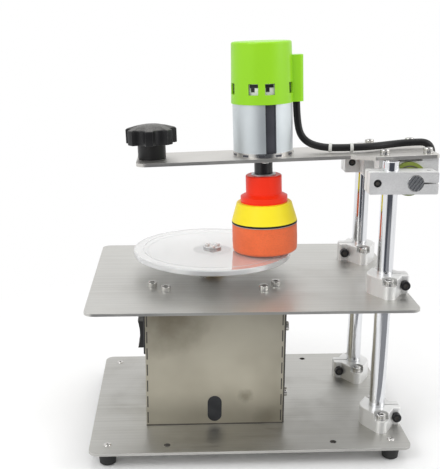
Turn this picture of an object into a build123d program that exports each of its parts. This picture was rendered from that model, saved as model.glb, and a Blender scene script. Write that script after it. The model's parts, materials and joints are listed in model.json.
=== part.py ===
from build123d import *
from math import cos, pi, radians, sin, tan
import os

# A bench machine that polishes optical discs. Two steel plates are tied together by a box,
# which holds the turntable drive, and by two upright rods. The rods carry a hinge, and on the
# hinge an arm brings a motor with a foam pad down on the clear turntable.
# Millimetres. +X is to the right, +Y to the back and +Z up. The origin is on the floor under
# the middle of the machine's outline. The front is the side with the slotted panel.

# ---------------------------------------------------------------- plates and feet
plate_w = 235.0  # left to right
plate_d = 175.0  # front to back
plate_t = 2.0
plate_corner = 7.0
foot_h = 12.0
foot_top_r = 7.0
foot_taper = 5.5  # degrees
foot_inset = 13.0  # from the plate's edges to a foot's axis
foot_head_h = 0.8
bench_hole_x = 61.0  # four holes for screwing the base to a bench, from the plate's middle
bench_hole_y = 76.5
bench_hole_r = 2.25

# ---------------------------------------------------------------- drive box
box_w = 104.0
box_d = 104.0
box_h = 104.0
box_wall = 1.2
box_to_left = 25.0  # the box's middle from the plate's
box_to_back = 6.5
tab_len = 9.0  # finger joints up the box's corners
tab_pitch = 13.0
slot_w = 10.8  # cable slot in the front panel, closed by a rubber blank
slot_h = 20.8
slot_up = 13.0
blank_lip = 1.6
post_leg = 11.0  # angle posts inside the corners
post_flange = 20.0  # their screwed ends
post_notch = 8.0  # off the flange's inner corner
post_t = 1.5
plate_screw_ring = 59.0  # screws that hold the posts, about the turntable's axis
plate_screw_turn = 7.0  # degrees on each side of a corner
cover_screw_in = 7.5  # screws of the right cover, from its upright edges
cover_screws_up = (22.6, 76.6)

# ---------------------------------------------------------------- switch, socket, board
bezel_w = 24.0
bezel_h = 31.0
bezel_t = 1.8
bezel_corner = 1.5
bezel_body_w = 21.4
bezel_body_h = 27.0
bezel_body_t = 12.0
bezel_floor = 4.0  # behind the rocker
rocker_w = 18.0
rocker_h = 21.5
rocker_out = 6.0  # ends of the rocker from the panel
rocker_waist = 4.5  # its middle from the panel
rocker_pin_in = 2.0
rocker_pin_r = 1.2
rocker_room = 1.0  # in the bezel above and below the rocker
rocker_heel = 3.0  # its hidden back, behind the pin
rocker_heel_h = 8.0
rocker_pin_past = 1.1  # each end of the pin past the rocker
switch_up = 67.6
switch_to_front = 26.5
terminal_len = 6.0
terminal_w = 4.8
terminal_t = 0.8
terminal_pitch = 7.0
socket_r = 5.4
socket_flange_r = 7.0
socket_flange_t = 2.0
socket_len = 12.0
socket_floor = 1.0
socket_nut_t = 2.5
socket_bore_r = 2.8
socket_pin_r = 1.0
socket_up = 24.0
socket_to_side = 20.0
board_w = 62.0
board_d = 44.0
board_t = 1.6
board_up = 6.0
board_corner = 2.0
board_hole_in = 4.0  # standoffs from the edges
standoff_r = 2.5
capacitor_r = 4.0
capacitor_h = 9.0
terminal_block = (8.0, 20.0)
cooler_h = 16.0
cooler_plate = (16.0, 3.0)
fin_len = 6.0
fin_t = 1.0
fin_pitch = 3.0
fin_count = 6

# ---------------------------------------------------------------- rods and their supports
rod_r = 6.0
rod_over_pivot = 15.0
rod_to_right = 100.0  # both rods' axis, from the plate's middle
rod_front_y = -46.0
rod_back_y = 41.0
collar_r = 13.0
collar_h = 14.0
lobe_r = 5.2
lobe_h = 9.5
lobe_reach = 15.0
lug_reach = 17.5
lug_w = 12.0
lug_screw_reach = 13.8
clamp_slit = 1.2
lug_round = 2.0

# ---------------------------------------------------------------- hinge
clamp_w = 16.0  # rod clamps, front to back
clamp_h = 16.0
clamp_corner = 1.0
clamp_to_left = 16.7
clamp_past_pivot = 16.5
clamp_screw_reach = 10.8
pivot_screw_reach = 11.0
rod_to_pivot = 16.5
pivot_r = 6.0
hinge_w = 44.0
hinge_t = 14.0
hinge_below = 8.5
hinge_relief_w = 20.0
hinge_relief_h = 2.0
hinge_corner = 2.0
hinge_screw_len = 8.0  # in the block
bush_r = 8.0
flange_r = 12.5
flange_t = 3.0
hinge_screw_reach = 16.0

# ---------------------------------------------------------------- arm and knob
arm_tilt = 2.2  # degrees, left end down, with the pad on the disc
arm_t = 2.5
arm_over_pivot = 14.5  # the arm's underside
arm_reach = 198.5  # pivot axis to left end
arm_w = 48.0
arm_corner = 8.0
head_corner = 3.0
head_w = 70.0  # the wide end over the hinge
head_reach = 25.0
head_slant = 16.0
head_right = 22.5
knob_in = 11.5  # from the arm's left end
knob_r = 19.2
knob_lobes = 7
flute_r = 6.0
flute_out = 2.1  # its centre outside the rim
lobe_round = 1.6
knob_head_h = 11.0
knob_dome = 3.5
knob_stem_r = 10.3
knob_stem_h = 11.5
stud_r = 3.0
stud_in_knob = 14.0
stud_head_r = 6.0
stud_head_h = 1.6

# ---------------------------------------------------------------- motor
motor_reach = 103.0  # pivot axis to motor axis
can_r = 20.8
can_h = 44.0
can_step = 2.0
ring_t = 1.55  # iron sleeve round the can
ring_gap = 8.0
ring_gap_at = -80.0  # degrees from +X, seen from above
ring_h = 37.0
bell_r = 20.0
bell_h = 18.0
nose_r = 6.2
bell_nose_h = 3.0
bell_edge = 1.5
shaft_r = 2.5
shaft_in = 30.0
shaft_seat = 3.0  # its lower end over the coupling's
motor_screw_reach = 14.5
motor_screw_len = 5.0  # in the can
motor_head_h = 2.0
cap_h = 44.4
cap_bottom_r = 23.3
cap_top_r = 22.3
cap_wall = 1.4
cap_round = 1.6
vent_w = 7.4
vent_h = 8.0
vent_up = 7.0
vent_turn = -6.5  # degrees, of the row of vents from the front
vent_angles = (15.5, 69.5, 124.0, 164.5)  # degrees each way from there
outlet_w = 12.0  # cable outlet on the cap's right side
outlet_h = 34.0
outlet_reach = 30.5
outlet_hole_reach = 25.6
outlet_corner = 3.0
outlet_hole_h = 6.0

# ---------------------------------------------------------------- pad
coupling_r = 7.0
coupling_h = 15.4
coupling_gap = 0.8  # under the arm
hub_socket = 3.0
hub_r = 13.8
hub_waist_h = 14.1
hub_flare_h = 2.2
hub_flange_r = 18.0
hub_flange_h = 4.5
hub_round = 1.2
hub_ring_r = 9.4
hub_ring_h = 1.0
cone_top_r = 21.0
cone_h = 14.5
cone_round = 1.5
pad_r = 25.2
hook_t = 1.3
loop_t = 0.7
pad_h = 21.6
pad_round = 1.0
pad_gap = 0.5  # lowest edge of the pad over the turntable

# ---------------------------------------------------------------- turntable
table_r = 61.7
table_disc_t = 6.0
table_over_plate = 20.0  # its top over the upper plate
table_flat_r = 54.0
table_bevel = 1.0
centring_r = 7.4
centring_h = 1.5
centring_screw_ring = 4.6
centring_screw_len = 2.0  # in the spindle's flange
spindle_r = 5.0
spindle_flange_r = 15.0
spindle_flange_t = 3.0
bush_sleeve_r = 8.0
bush_flange_r = 11.0
bush_flange_t = 2.0
bush_h = 4.0
output_r = 3.0
output_in = 12.0
bore_past = 1.0  # a blind bore past the end of what it takes
gearbox_r = 18.5
gearbox_h = 24.0
gearbox_screw_ring = 15.3
gearbox_screw_len = 8.0
gearbox_head_h = 2.0
drive_r = 13.5
drive_h = 34.0
spindle_lift = 0.5  # its lower end over the upper plate's underside

# ---------------------------------------------------------------- cable and fasteners
cable_r = 2.75
cable_drop = 19.0  # its straight run out of the cap
tie_t = 0.5
tie_w = 2.4
ties_along = (53.5, 69.3)  # from the cable's start in the cap
grommet_lip = 1.6
grommet_lip_t = 1.2
grommet_wall = 2.8
grommet_taper = 25.0  # degrees
tie_lock = (2.4, 3.0)
tie_lock_out = 0.9  # its middle from the cable's skin
cable_in_box = 8.0
m2_r, m2_head_r, m2_head_h = 1.0, 1.9, 1.2
m3_r, m3_head_r, m3_head_h = 1.5, 2.75, 3.0
m4_r, m4_head_r, m4_head_h = 2.0, 3.5, 4.0
m4_nut_r, m4_nut_h = 4.04, 3.2

# ---------------------------------------------------------------- clearances
slip = 0.05  # a shaft in its bore
ease = 0.15  # a screw in its hole, a tab in its notch
air = 0.3  # bodies that pass each other
sink = 0.3  # a screw's head in its counterbore
edge_break = 0.5
screw_past = 2.0  # a screw's end past the last sheet it holds
foot_edge = 1.0

# ---------------------------------------------------------------- places that follow
tilt = radians(arm_tilt)
arm_top = arm_over_pivot + arm_t
right_of_plate = rod_to_right + rod_to_pivot + head_right * cos(tilt) - arm_over_pivot * sin(tilt)
plate_x = (plate_w / 2 - right_of_plate) / 2
base_top = foot_h + plate_t
table_under = base_top + box_h
table_top = table_under + plate_t
turntable_z = table_top + table_over_plate
box_x = plate_x - box_to_left
box_y = box_to_back
box_mid = base_top + box_h / 2
rod_x = plate_x + rod_to_right
pivot_x = rod_x + rod_to_pivot
arm_y = (rod_front_y + rod_back_y) / 2

# heights of the pad's stack, square to the arm, from the pivot axis
coupling_n = arm_over_pivot - coupling_gap - coupling_h
hub_n = coupling_n + hub_socket
cone_n = hub_n - hub_waist_h - hub_flare_h - hub_flange_h
hook_n = cone_n - cone_h
loop_n = hook_n - hook_t
foam_n = loop_n - loop_t
pad_n = foam_n - pad_h
cap_n = arm_top + can_step + ring_h + slip
pivot_z = turntable_z + pad_gap + (motor_reach + pad_r) * sin(tilt) - pad_n * cos(tilt)

BASE = Plane(origin=(plate_x, 0, foot_h))
TABLE = Plane(origin=(plate_x, 0, table_under))
SPINDLE = Plane(origin=(box_x, box_y, 0))
ARM = Plane(
    origin=(pivot_x, arm_y, pivot_z), x_dir=(cos(tilt), 0, sin(tilt)), z_dir=(-sin(tilt), 0, cos(tilt))
)
MOTOR = Plane(origin=ARM.from_local_coords((-motor_reach, 0, 0)), x_dir=ARM.x_dir, z_dir=ARM.z_dir)
MOTOR_SIDE = Plane(origin=MOTOR.origin, x_dir=ARM.x_dir, z_dir=(0, -1, 0))
MOTOR_AXIS = Axis(MOTOR.origin, MOTOR.z_dir)
KNOB = Plane(
    origin=ARM.from_local_coords((knob_in - arm_reach, 0, arm_top)), x_dir=ARM.x_dir, z_dir=ARM.z_dir
)
KNOB_SIDE = Plane(origin=KNOB.origin, x_dir=ARM.x_dir, z_dir=(0, -1, 0))

os.makedirs("parts", exist_ok=True)


def finish(piece, label):
    """Name a finished sub-part and write it."""
    piece.part.label = label
    export_step(piece.part, f"parts/{label}.step")


def screws(*groups):
    """Groups of like screws: heads stand on the group's face, shanks go down through it."""
    with BuildPart() as screw:
        for face, spots, (head_r, head_h), (shank_r, shank_len) in groups:
            with BuildSketch(face):
                with Locations(*spots):
                    Circle(head_r)
            extrude(amount=head_h)
            with BuildSketch(face):
                with Locations(*spots):
                    Circle(shank_r)
            extrude(amount=-shank_len)
    return screw


def across_arm(y):
    """The plane square to the hinge axis, y from the arm's middle, facing the front."""
    return Plane(origin=ARM.from_local_coords((0, y, 0)), x_dir=ARM.x_dir, z_dir=(0, -1, 0))


# ================================================================ plates and feet
foot_spots = [
    (x * (plate_w / 2 - foot_inset), y * (plate_d / 2 - foot_inset)) for x in (-1, 1) for y in (-1, 1)
]
bench_spots = [(x * bench_hole_x, y * bench_hole_y) for x in (-1, 1) for y in (-1, 1)]
support_spots = [
    (rod_to_right, y + side * lobe_reach) for y in (rod_front_y, rod_back_y) for side in (-1, 1)
]
post_angles = [radians(45 + 90 * n + side * plate_screw_turn) for n in range(4) for side in (-1, 1)]
post_spots = [(plate_screw_ring * cos(a), plate_screw_ring * sin(a)) for a in post_angles]
post_spots_on_plate = [(x - box_to_left, y + box_to_back) for x, y in post_spots]
table_grommet_spot = (rod_to_right + 6.0, rod_back_y + 27.5)
grommet_hole_r = cable_r + slip * 4 + grommet_wall

with BuildPart() as base_plate:
    with BuildSketch(BASE):
        RectangleRounded(plate_w, plate_d, plate_corner)
        with Locations(*bench_spots):
            Circle(bench_hole_r, mode=Mode.SUBTRACT)
        with Locations(*support_spots, *post_spots_on_plate):
            Circle(m4_r + ease, mode=Mode.SUBTRACT)
        with Locations(*foot_spots):
            Circle(m3_r + ease, mode=Mode.SUBTRACT)
    extrude(amount=plate_t)
finish(base_plate, "base_plate")

with BuildPart() as rubber_feet:
    with BuildSketch(BASE):
        with Locations(*foot_spots):
            Circle(foot_top_r)
    extrude(amount=-foot_h, taper=foot_taper)
    chamfer(rubber_feet.edges().group_by(Axis.Z)[0], foot_edge)
    with BuildSketch(BASE):
        with Locations(*foot_spots):
            Circle(m3_r + ease)
    extrude(amount=-foot_h / 2 - bore_past, mode=Mode.SUBTRACT)
finish(rubber_feet, "rubber_feet")

foot_screws = screws(
    (BASE.offset(plate_t), foot_spots, (m3_head_r, foot_head_h), (m3_r, plate_t + foot_h / 2))
)
finish(foot_screws, "foot_screws")

with BuildPart() as table_plate:
    with BuildSketch(TABLE):
        RectangleRounded(plate_w, plate_d, plate_corner)
        with Locations(*support_spots, *post_spots_on_plate):
            Circle(m4_r + ease, mode=Mode.SUBTRACT)
        with Locations((rod_to_right, rod_front_y), (rod_to_right, rod_back_y)):
            Circle(rod_r + air, mode=Mode.SUBTRACT)
        with Locations(table_grommet_spot):
            Circle(grommet_hole_r, mode=Mode.SUBTRACT)
    extrude(amount=plate_t)
    with BuildSketch(SPINDLE.offset(table_under)):
        Circle(bush_sleeve_r + slip)
        with PolarLocations(gearbox_screw_ring, 3):
            Circle(m3_r + ease)
    extrude(amount=plate_t, mode=Mode.SUBTRACT)
finish(table_plate, "table_plate")

# The upper plate's screws: eight into the corner posts and three into the gearbox.
post_screw_len = plate_t + post_t + screw_past
gearbox_screw_angles = [radians(120 * n) for n in range(3)]
gearbox_spots = [(gearbox_screw_ring * cos(a), gearbox_screw_ring * sin(a)) for a in gearbox_screw_angles]
gearbox_len = plate_t + gearbox_screw_len
table_screws = screws(
    (SPINDLE.offset(table_top), post_spots, (m4_head_r, m4_head_h), (m4_r, post_screw_len)),
    (SPINDLE.offset(table_top), gearbox_spots, (m3_head_r, gearbox_head_h), (m3_r, gearbox_len)),
)
finish(table_screws, "table_screws")

# ================================================================ drive box
# Each panel is drawn from outside, with its own middle as the origin.
FRONT = Plane(origin=(box_x, box_y - box_d / 2, box_mid), x_dir=(1, 0, 0), z_dir=(0, -1, 0))
BACK = Plane(origin=(box_x, box_y + box_d / 2, box_mid), x_dir=(-1, 0, 0), z_dir=(0, 1, 0))
LEFT = Plane(origin=(box_x - box_w / 2, box_y, box_mid), x_dir=(0, -1, 0), z_dir=(-1, 0, 0))
RIGHT = Plane(origin=(box_x + box_w / 2, box_y, box_mid), x_dir=(0, 1, 0), z_dir=(1, 0, 0))
tab_count = int(box_h / tab_pitch)
tab_heights = [(n - (tab_count - 1) / 2) * tab_pitch for n in range(tab_count)]
notch_spots = [(side * (box_w - box_wall) / 2, z) for side in (-1, 1) for z in tab_heights]
tab_spots = [(side * (box_d - box_wall) / 2, z) for side in (-1, 1) for z in tab_heights]
slot_spot = (0, slot_up - box_h / 2)
socket_spot = (socket_to_side, socket_up - box_h / 2)
switch_spot = (switch_to_front, switch_up - box_h / 2)
cover_screw_spots = [
    (side * (box_d / 2 - cover_screw_in), up - box_h / 2) for side in (-1, 1) for up in cover_screws_up
]
box_grommet_spot = (22.0, 32.0)

with BuildPart() as front_panel:
    with BuildSketch(FRONT):
        Rectangle(box_w, box_h)
        with Locations(*notch_spots):
            Rectangle(box_wall + 2 * slip, tab_len + 2 * ease, mode=Mode.SUBTRACT)
        with Locations(slot_spot):
            SlotOverall(slot_h, slot_w, rotation=90, mode=Mode.SUBTRACT)
    extrude(amount=-box_wall)
finish(front_panel, "front_panel")

with BuildPart() as back_panel:
    with BuildSketch(BACK):
        Rectangle(box_w, box_h)
        with Locations(*notch_spots):
            Rectangle(box_wall + 2 * slip, tab_len + 2 * ease, mode=Mode.SUBTRACT)
        with Locations(socket_spot):
            Circle(socket_r + ease, mode=Mode.SUBTRACT)
    extrude(amount=-box_wall)
finish(back_panel, "back_panel")

with BuildPart() as left_panel:
    with BuildSketch(LEFT):
        Rectangle(box_d - 2 * box_wall, box_h)
        with Locations(*tab_spots):
            Rectangle(box_wall, tab_len)
        with Locations(switch_spot):
            Rectangle(bezel_body_w + 2 * ease, bezel_body_h + 2 * ease, mode=Mode.SUBTRACT)
    extrude(amount=-box_wall)
finish(left_panel, "left_panel")

with BuildPart() as right_cover:
    with BuildSketch(RIGHT):
        Rectangle(box_d - 2 * box_wall, box_h)
        with Locations(*tab_spots):
            Rectangle(box_wall, tab_len)
        with Locations(*cover_screw_spots):
            Circle(m4_r + ease, mode=Mode.SUBTRACT)
        with Locations(box_grommet_spot):
            Circle(grommet_hole_r, mode=Mode.SUBTRACT)
    extrude(amount=-box_wall)
finish(right_cover, "right_cover")

# The box's screws: four through the right cover and eight through the base plate.
BASE_UNDERSIDE = Plane(origin=(box_x, box_y, foot_h), x_dir=(1, 0, 0), z_dir=(0, 0, -1))
box_screws = screws(
    (RIGHT, cover_screw_spots, (m4_head_r, m4_head_h), (m4_r, box_wall + post_t + screw_past)),
    (BASE_UNDERSIDE, post_spots, (m4_head_r, m4_head_h), (m4_r, post_screw_len)),
)
finish(box_screws, "box_screws")

# An angle post stands in each corner: two legs, and a screwed flange at each end.
post_x = box_w / 2 - box_wall
post_y = box_d / 2 - box_wall
post_signs = [(x, y) for x in (-1, 1) for y in (-1, 1)]
with BuildPart() as corner_posts:
    with BuildSketch(SPINDLE.offset(base_top)):
        for x, y in post_signs:
            with Locations((x * (post_x - post_leg / 2), y * (post_y - post_leg / 2))):
                Rectangle(post_leg, post_leg)
        for x, y in post_signs:
            with Locations((x * (post_x - post_t - post_leg / 2), y * (post_y - post_t - post_leg / 2))):
                Rectangle(post_leg, post_leg, mode=Mode.SUBTRACT)
    extrude(amount=box_h)
    with BuildSketch(SPINDLE.offset(base_top), SPINDLE.offset(table_under - post_t)):
        for x, y in post_signs:
            with Locations((x * (post_x - post_flange / 2), y * (post_y - post_flange / 2))):
                Rectangle(post_flange, post_flange)
        for x, y in post_signs:
            with Locations((x * (post_x - post_flange), y * (post_y - post_flange))):
                Rectangle(post_notch * 2**0.5, post_notch * 2**0.5, rotation=45, mode=Mode.SUBTRACT)
        with Locations(*post_spots):
            Circle(m4_r + ease, mode=Mode.SUBTRACT)
    extrude(amount=post_t)
    with BuildSketch(RIGHT):
        with Locations(*cover_screw_spots):
            Circle(m4_r + ease)
    extrude(amount=-box_wall - post_t - screw_past, mode=Mode.SUBTRACT)
finish(corner_posts, "corner_posts")

with BuildPart() as slot_blank:
    with BuildSketch(FRONT.offset(air)):
        with Locations(slot_spot):
            SlotOverall(slot_h - 2 * slip, slot_w - 2 * slip, rotation=90)
    extrude(amount=-box_wall - air)
    with BuildSketch(FRONT.offset(-box_wall)):
        with Locations(slot_spot):
            SlotOverall(slot_h + 2 * blank_lip, slot_w + 2 * blank_lip, rotation=90)
    extrude(amount=-blank_lip)
finish(slot_blank, "slot_blank")

# ---------------------------------------------------------------- rocker switch
SWITCH = Plane(origin=LEFT.from_local_coords((*switch_spot, 0)), x_dir=LEFT.x_dir, z_dir=LEFT.z_dir)
ROCKER = Plane(
    origin=SWITCH.from_local_coords((0, 0, -rocker_pin_in)), x_dir=SWITCH.z_dir, z_dir=(0, 1, 0)
)
pocket_t = bezel_body_t - bezel_floor
with BuildPart() as switch_bezel:
    with BuildSketch(SWITCH):
        RectangleRounded(bezel_w, bezel_h, bezel_corner)
    extrude(amount=bezel_t)
    chamfer(switch_bezel.faces().sort_by(Axis.X)[0].edges(), edge_break)
    with BuildSketch(SWITCH):
        Rectangle(bezel_body_w, bezel_body_h)
    extrude(amount=-bezel_body_t)
    with BuildSketch(SWITCH.offset(bezel_t)):
        Rectangle(rocker_w + 2 * air, rocker_h + 2 * rocker_room)
    extrude(amount=-bezel_t - pocket_t, mode=Mode.SUBTRACT)
    with BuildSketch(ROCKER):
        Circle(rocker_pin_r + slip)
    extrude(amount=rocker_w / 2 + rocker_pin_past + slip, both=True, mode=Mode.SUBTRACT)
    with BuildSketch(SWITCH.offset(-bezel_body_t)):
        with GridLocations(0, terminal_pitch, 1, 3):
            Rectangle(terminal_w, terminal_t)
    extrude(amount=-terminal_len)
finish(switch_bezel, "switch_bezel")

with BuildPart() as switch_rocker:
    with BuildSketch(ROCKER):
        with BuildLine():
            end_out = rocker_out + rocker_pin_in
            waist_out = rocker_waist + rocker_pin_in
            dish = ThreePointArc((end_out, -rocker_h / 2), (waist_out, 0), (end_out, rocker_h / 2))
            heel_half = rocker_heel_h / 2
            upper_heel = Polyline(dish @ 1, (0, rocker_h / 2), (-rocker_heel, heel_half))
            lower_heel = Polyline(dish @ 0, (0, -rocker_h / 2), (-rocker_heel, -heel_half))
            Line(upper_heel @ 1, lower_heel @ 1)
        make_face()
    extrude(amount=rocker_w / 2, both=True)
    with BuildSketch(ROCKER):
        Circle(rocker_pin_r)
    extrude(amount=rocker_w / 2 + rocker_pin_past, both=True)
finish(switch_rocker, "switch_rocker")

# ---------------------------------------------------------------- power socket and board
SOCKET = Plane(origin=BACK.from_local_coords((*socket_spot, 0)), x_dir=BACK.x_dir, z_dir=BACK.z_dir)
with BuildPart() as power_socket:
    with BuildSketch(SOCKET):
        Circle(socket_flange_r)
    extrude(amount=socket_flange_t)
    with BuildSketch(SOCKET):
        Circle(socket_r)
    extrude(amount=-socket_len)
    with BuildSketch(SOCKET.offset(socket_flange_t)):
        Circle(socket_bore_r)
        Circle(socket_pin_r, mode=Mode.SUBTRACT)
    extrude(amount=-socket_len + socket_floor, mode=Mode.SUBTRACT)
    with BuildSketch(SOCKET.offset(-box_wall)):
        RegularPolygon(socket_flange_r, 6)
        Circle(socket_r + slip, mode=Mode.SUBTRACT)
    extrude(amount=-socket_nut_t)
finish(power_socket, "power_socket")

BOARD = SPINDLE.offset(base_top + board_up)
with BuildPart() as speed_board:
    with BuildSketch(BOARD):
        RectangleRounded(board_w, board_d, board_corner)
    extrude(amount=board_t)
    with BuildSketch(BOARD):
        with GridLocations(board_w - 2 * board_hole_in, board_d - 2 * board_hole_in, 2, 2):
            Circle(standoff_r)
    extrude(amount=-board_up)
    with BuildSketch(BOARD.offset(board_t)):
        with Locations((-board_w / 3, board_d / 5)):
            Circle(capacitor_r)
        with Locations((board_w / 3, 0)):
            Rectangle(*terminal_block)
    extrude(amount=capacitor_h)
    with BuildSketch(BOARD.offset(board_t)):
        Rectangle(*cooler_plate)
        with Locations((0, fin_len / 2 + cooler_plate[1] / 2 - slip)):
            with GridLocations(fin_pitch, 0, fin_count, 1):
                Rectangle(fin_t, fin_len)
    extrude(amount=cooler_h)
finish(speed_board, "speed_board")

# ================================================================ turntable drive
gearbox_z = table_under - gearbox_h
spindle_z = table_under + spindle_lift
disc_z = turntable_z - table_disc_t
flange_z = disc_z - spindle_flange_t
with BuildPart() as gearmotor:
    with BuildSketch(SPINDLE.offset(gearbox_z)):
        Circle(gearbox_r)
    extrude(amount=gearbox_h)
    with BuildSketch(SPINDLE.offset(gearbox_z)):
        Circle(drive_r)
    extrude(amount=-drive_h)
    chamfer(gearmotor.faces().sort_by(Axis.Z)[0].edges(), edge_break)
    with BuildSketch(SPINDLE.offset(table_under)):
        Circle(output_r + slip)
        with PolarLocations(gearbox_screw_ring, 3):
            Circle(m3_r + ease)
    extrude(amount=-output_in - bore_past, mode=Mode.SUBTRACT)
finish(gearmotor, "gearmotor")

with BuildPart() as spindle_bush:
    with BuildSketch(SPINDLE.offset(table_under)):
        Circle(bush_sleeve_r)
    extrude(amount=plate_t + bush_h)
    with BuildSketch(SPINDLE.offset(table_top)):
        Circle(bush_flange_r)
    extrude(amount=bush_flange_t)
    with BuildSketch(SPINDLE.offset(table_under)):
        Circle(spindle_r + slip)
    extrude(amount=plate_t + bush_h, mode=Mode.SUBTRACT)
finish(spindle_bush, "spindle_bush")

with BuildPart() as output_shaft:
    with BuildSketch(SPINDLE.offset(table_under - output_in)):
        Circle(output_r)
    extrude(amount=output_in + flange_z - table_under)
    chamfer(output_shaft.faces().sort_by(Axis.Z)[-1].edges(), edge_break)
finish(output_shaft, "output_shaft")

with BuildPart() as turntable_spindle:
    with BuildSketch(SPINDLE.offset(spindle_z)):
        Circle(spindle_r)
    extrude(amount=flange_z - spindle_z)
    with BuildSketch(SPINDLE.offset(flange_z)):
        Circle(spindle_flange_r)
    extrude(amount=spindle_flange_t)
    with BuildSketch(SPINDLE.offset(spindle_z)):
        Circle(output_r + slip)
    extrude(amount=flange_z + bore_past - spindle_z, mode=Mode.SUBTRACT)
    with BuildSketch(SPINDLE.offset(disc_z)):
        with PolarLocations(centring_screw_ring, 3, start_angle=30):
            Circle(m2_r + ease)
    extrude(amount=-centring_screw_len - sink, mode=Mode.SUBTRACT)
finish(turntable_spindle, "turntable_spindle")

SPINDLE_SIDE = Plane(origin=SPINDLE.origin, x_dir=(1, 0, 0), z_dir=(0, -1, 0))
with BuildPart() as turntable_disc:
    with BuildSketch(SPINDLE_SIDE):
        with BuildLine():
            Polyline(
                (0, disc_z),
                (table_r, disc_z),
                (table_r, turntable_z - table_bevel),
                (table_flat_r, turntable_z),
                (0, turntable_z),
                close=True,
            )
        make_face()
    revolve(axis=Axis(SPINDLE.origin, SPINDLE.z_dir))
    with BuildSketch(SPINDLE.offset(turntable_z)):
        with PolarLocations(centring_screw_ring, 3, start_angle=30):
            Circle(m2_r + ease)
    extrude(amount=-table_disc_t, mode=Mode.SUBTRACT)
finish(turntable_disc, "turntable_disc")

with BuildPart() as centring_hub:
    with BuildSketch(SPINDLE.offset(turntable_z)):
        Circle(centring_r)
        with PolarLocations(centring_screw_ring, 3, start_angle=30):
            Circle(m2_r + ease, mode=Mode.SUBTRACT)
    extrude(amount=centring_h)
finish(centring_hub, "centring_hub")

hub_screw_angles = [radians(30 + 120 * n) for n in range(3)]
hub_screw_spots = [(centring_screw_ring * cos(a), centring_screw_ring * sin(a)) for a in hub_screw_angles]
hub_top = SPINDLE.offset(turntable_z + centring_h)
centring_screw_reach = centring_h + table_disc_t + centring_screw_len
hub_screws = screws(
    (hub_top, hub_screw_spots, (m2_head_r, m2_head_h), (m2_r, centring_screw_reach))
)
finish(hub_screws, "hub_screws")

# ================================================================ rods and their supports
rod_top = pivot_z + rod_over_pivot
for label, rod_y in (("rod_front", rod_front_y), ("rod_back", rod_back_y)):
    with BuildPart() as rod:
        with BuildSketch(Plane(origin=(rod_x, rod_y, base_top))):
            Circle(rod_r)
        extrude(amount=rod_top - base_top)
        chamfer(rod.faces().filter_by(GeomType.PLANE).edges(), edge_break)
    finish(rod, label)

support_seats = [
    ("rod_support_base_front", rod_front_y, base_top, 1),
    ("rod_support_base_back", rod_back_y, base_top, -1),
    ("rod_support_mid_front", rod_front_y, table_top, 1),
    ("rod_support_mid_back", rod_back_y, table_top, -1),
]


def lug_face(rod_y, seat_z, side):
    """The front of a support's clamp lug, at its screw."""
    at = (rod_x + side * lug_screw_reach, rod_y - lug_w / 2, seat_z + collar_h / 2)
    return Plane(origin=at, x_dir=(1, 0, 0), z_dir=(0, -1, 0))


for label, rod_y, seat_z, side in support_seats:
    seat = Plane(origin=(rod_x, rod_y, seat_z))
    lug_front = lug_face(rod_y, seat_z, side)
    with BuildPart() as rod_support:
        with BuildSketch(seat):
            Circle(collar_r)
            with Locations((0, -lobe_reach), (0, lobe_reach)):
                Circle(lobe_r)
            make_hull()
        extrude(amount=collar_h)
        with BuildSketch(seat):
            with Locations((side * lug_reach / 2, 0)):
                Rectangle(lug_reach, lug_w)
        extrude(amount=collar_h)
        fillet(rod_support.edges().filter_by(Axis.Z).sort_by(Axis.X)[:: -side][:2], lug_round)
        chamfer(rod_support.faces().sort_by(Axis.Z)[-1].edges(), edge_break)
        with BuildSketch(seat.offset(lobe_h)):
            with Locations((0, -lobe_reach), (0, lobe_reach)):
                Circle(lobe_r + air)
        extrude(amount=collar_h - lobe_h, mode=Mode.SUBTRACT)
        with BuildSketch(seat):
            Circle(rod_r + slip)
            with Locations((side * lug_reach / 2, 0)):
                Rectangle(lug_reach, clamp_slit)
            with Locations((0, -lobe_reach), (0, lobe_reach)):
                Circle(m4_r + ease)
        extrude(amount=collar_h, mode=Mode.SUBTRACT)
        with BuildSketch(lug_front):
            Circle(m4_head_r + air)
        extrude(amount=collar_r, mode=Mode.SUBTRACT)
        with BuildSketch(lug_front):
            Circle(m4_r + ease)
        extrude(amount=-lug_w, mode=Mode.SUBTRACT)
    finish(rod_support, label)

lobe_tops = [plate.offset(plate_t + lobe_h) for plate in (BASE, TABLE)]
lobe_screw_len = lobe_h + plate_t + m4_nut_h
support_screws = screws(
    *[(top, support_spots, (m4_head_r, m4_head_h), (m4_r, lobe_screw_len)) for top in lobe_tops]
)
finish(support_screws, "support_screws")

with BuildPart() as support_nuts:
    for underside in (BASE, TABLE):
        with BuildSketch(underside):
            with Locations(*support_spots):
                RegularPolygon(m4_nut_r, 6)
            with Locations(*support_spots):
                Circle(m4_r + slip, mode=Mode.SUBTRACT)
        extrude(amount=-m4_nut_h)
finish(support_nuts, "support_nuts")

lug_fronts = [lug_face(rod_y, seat_z, side) for label, rod_y, seat_z, side in support_seats]
support_clamp_screws = screws(
    *[(face, [(0, 0)], (m4_head_r, m4_head_h), (m4_r, lug_w)) for face in lug_fronts]
)
finish(support_clamp_screws, "support_clamp_screws")

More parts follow.
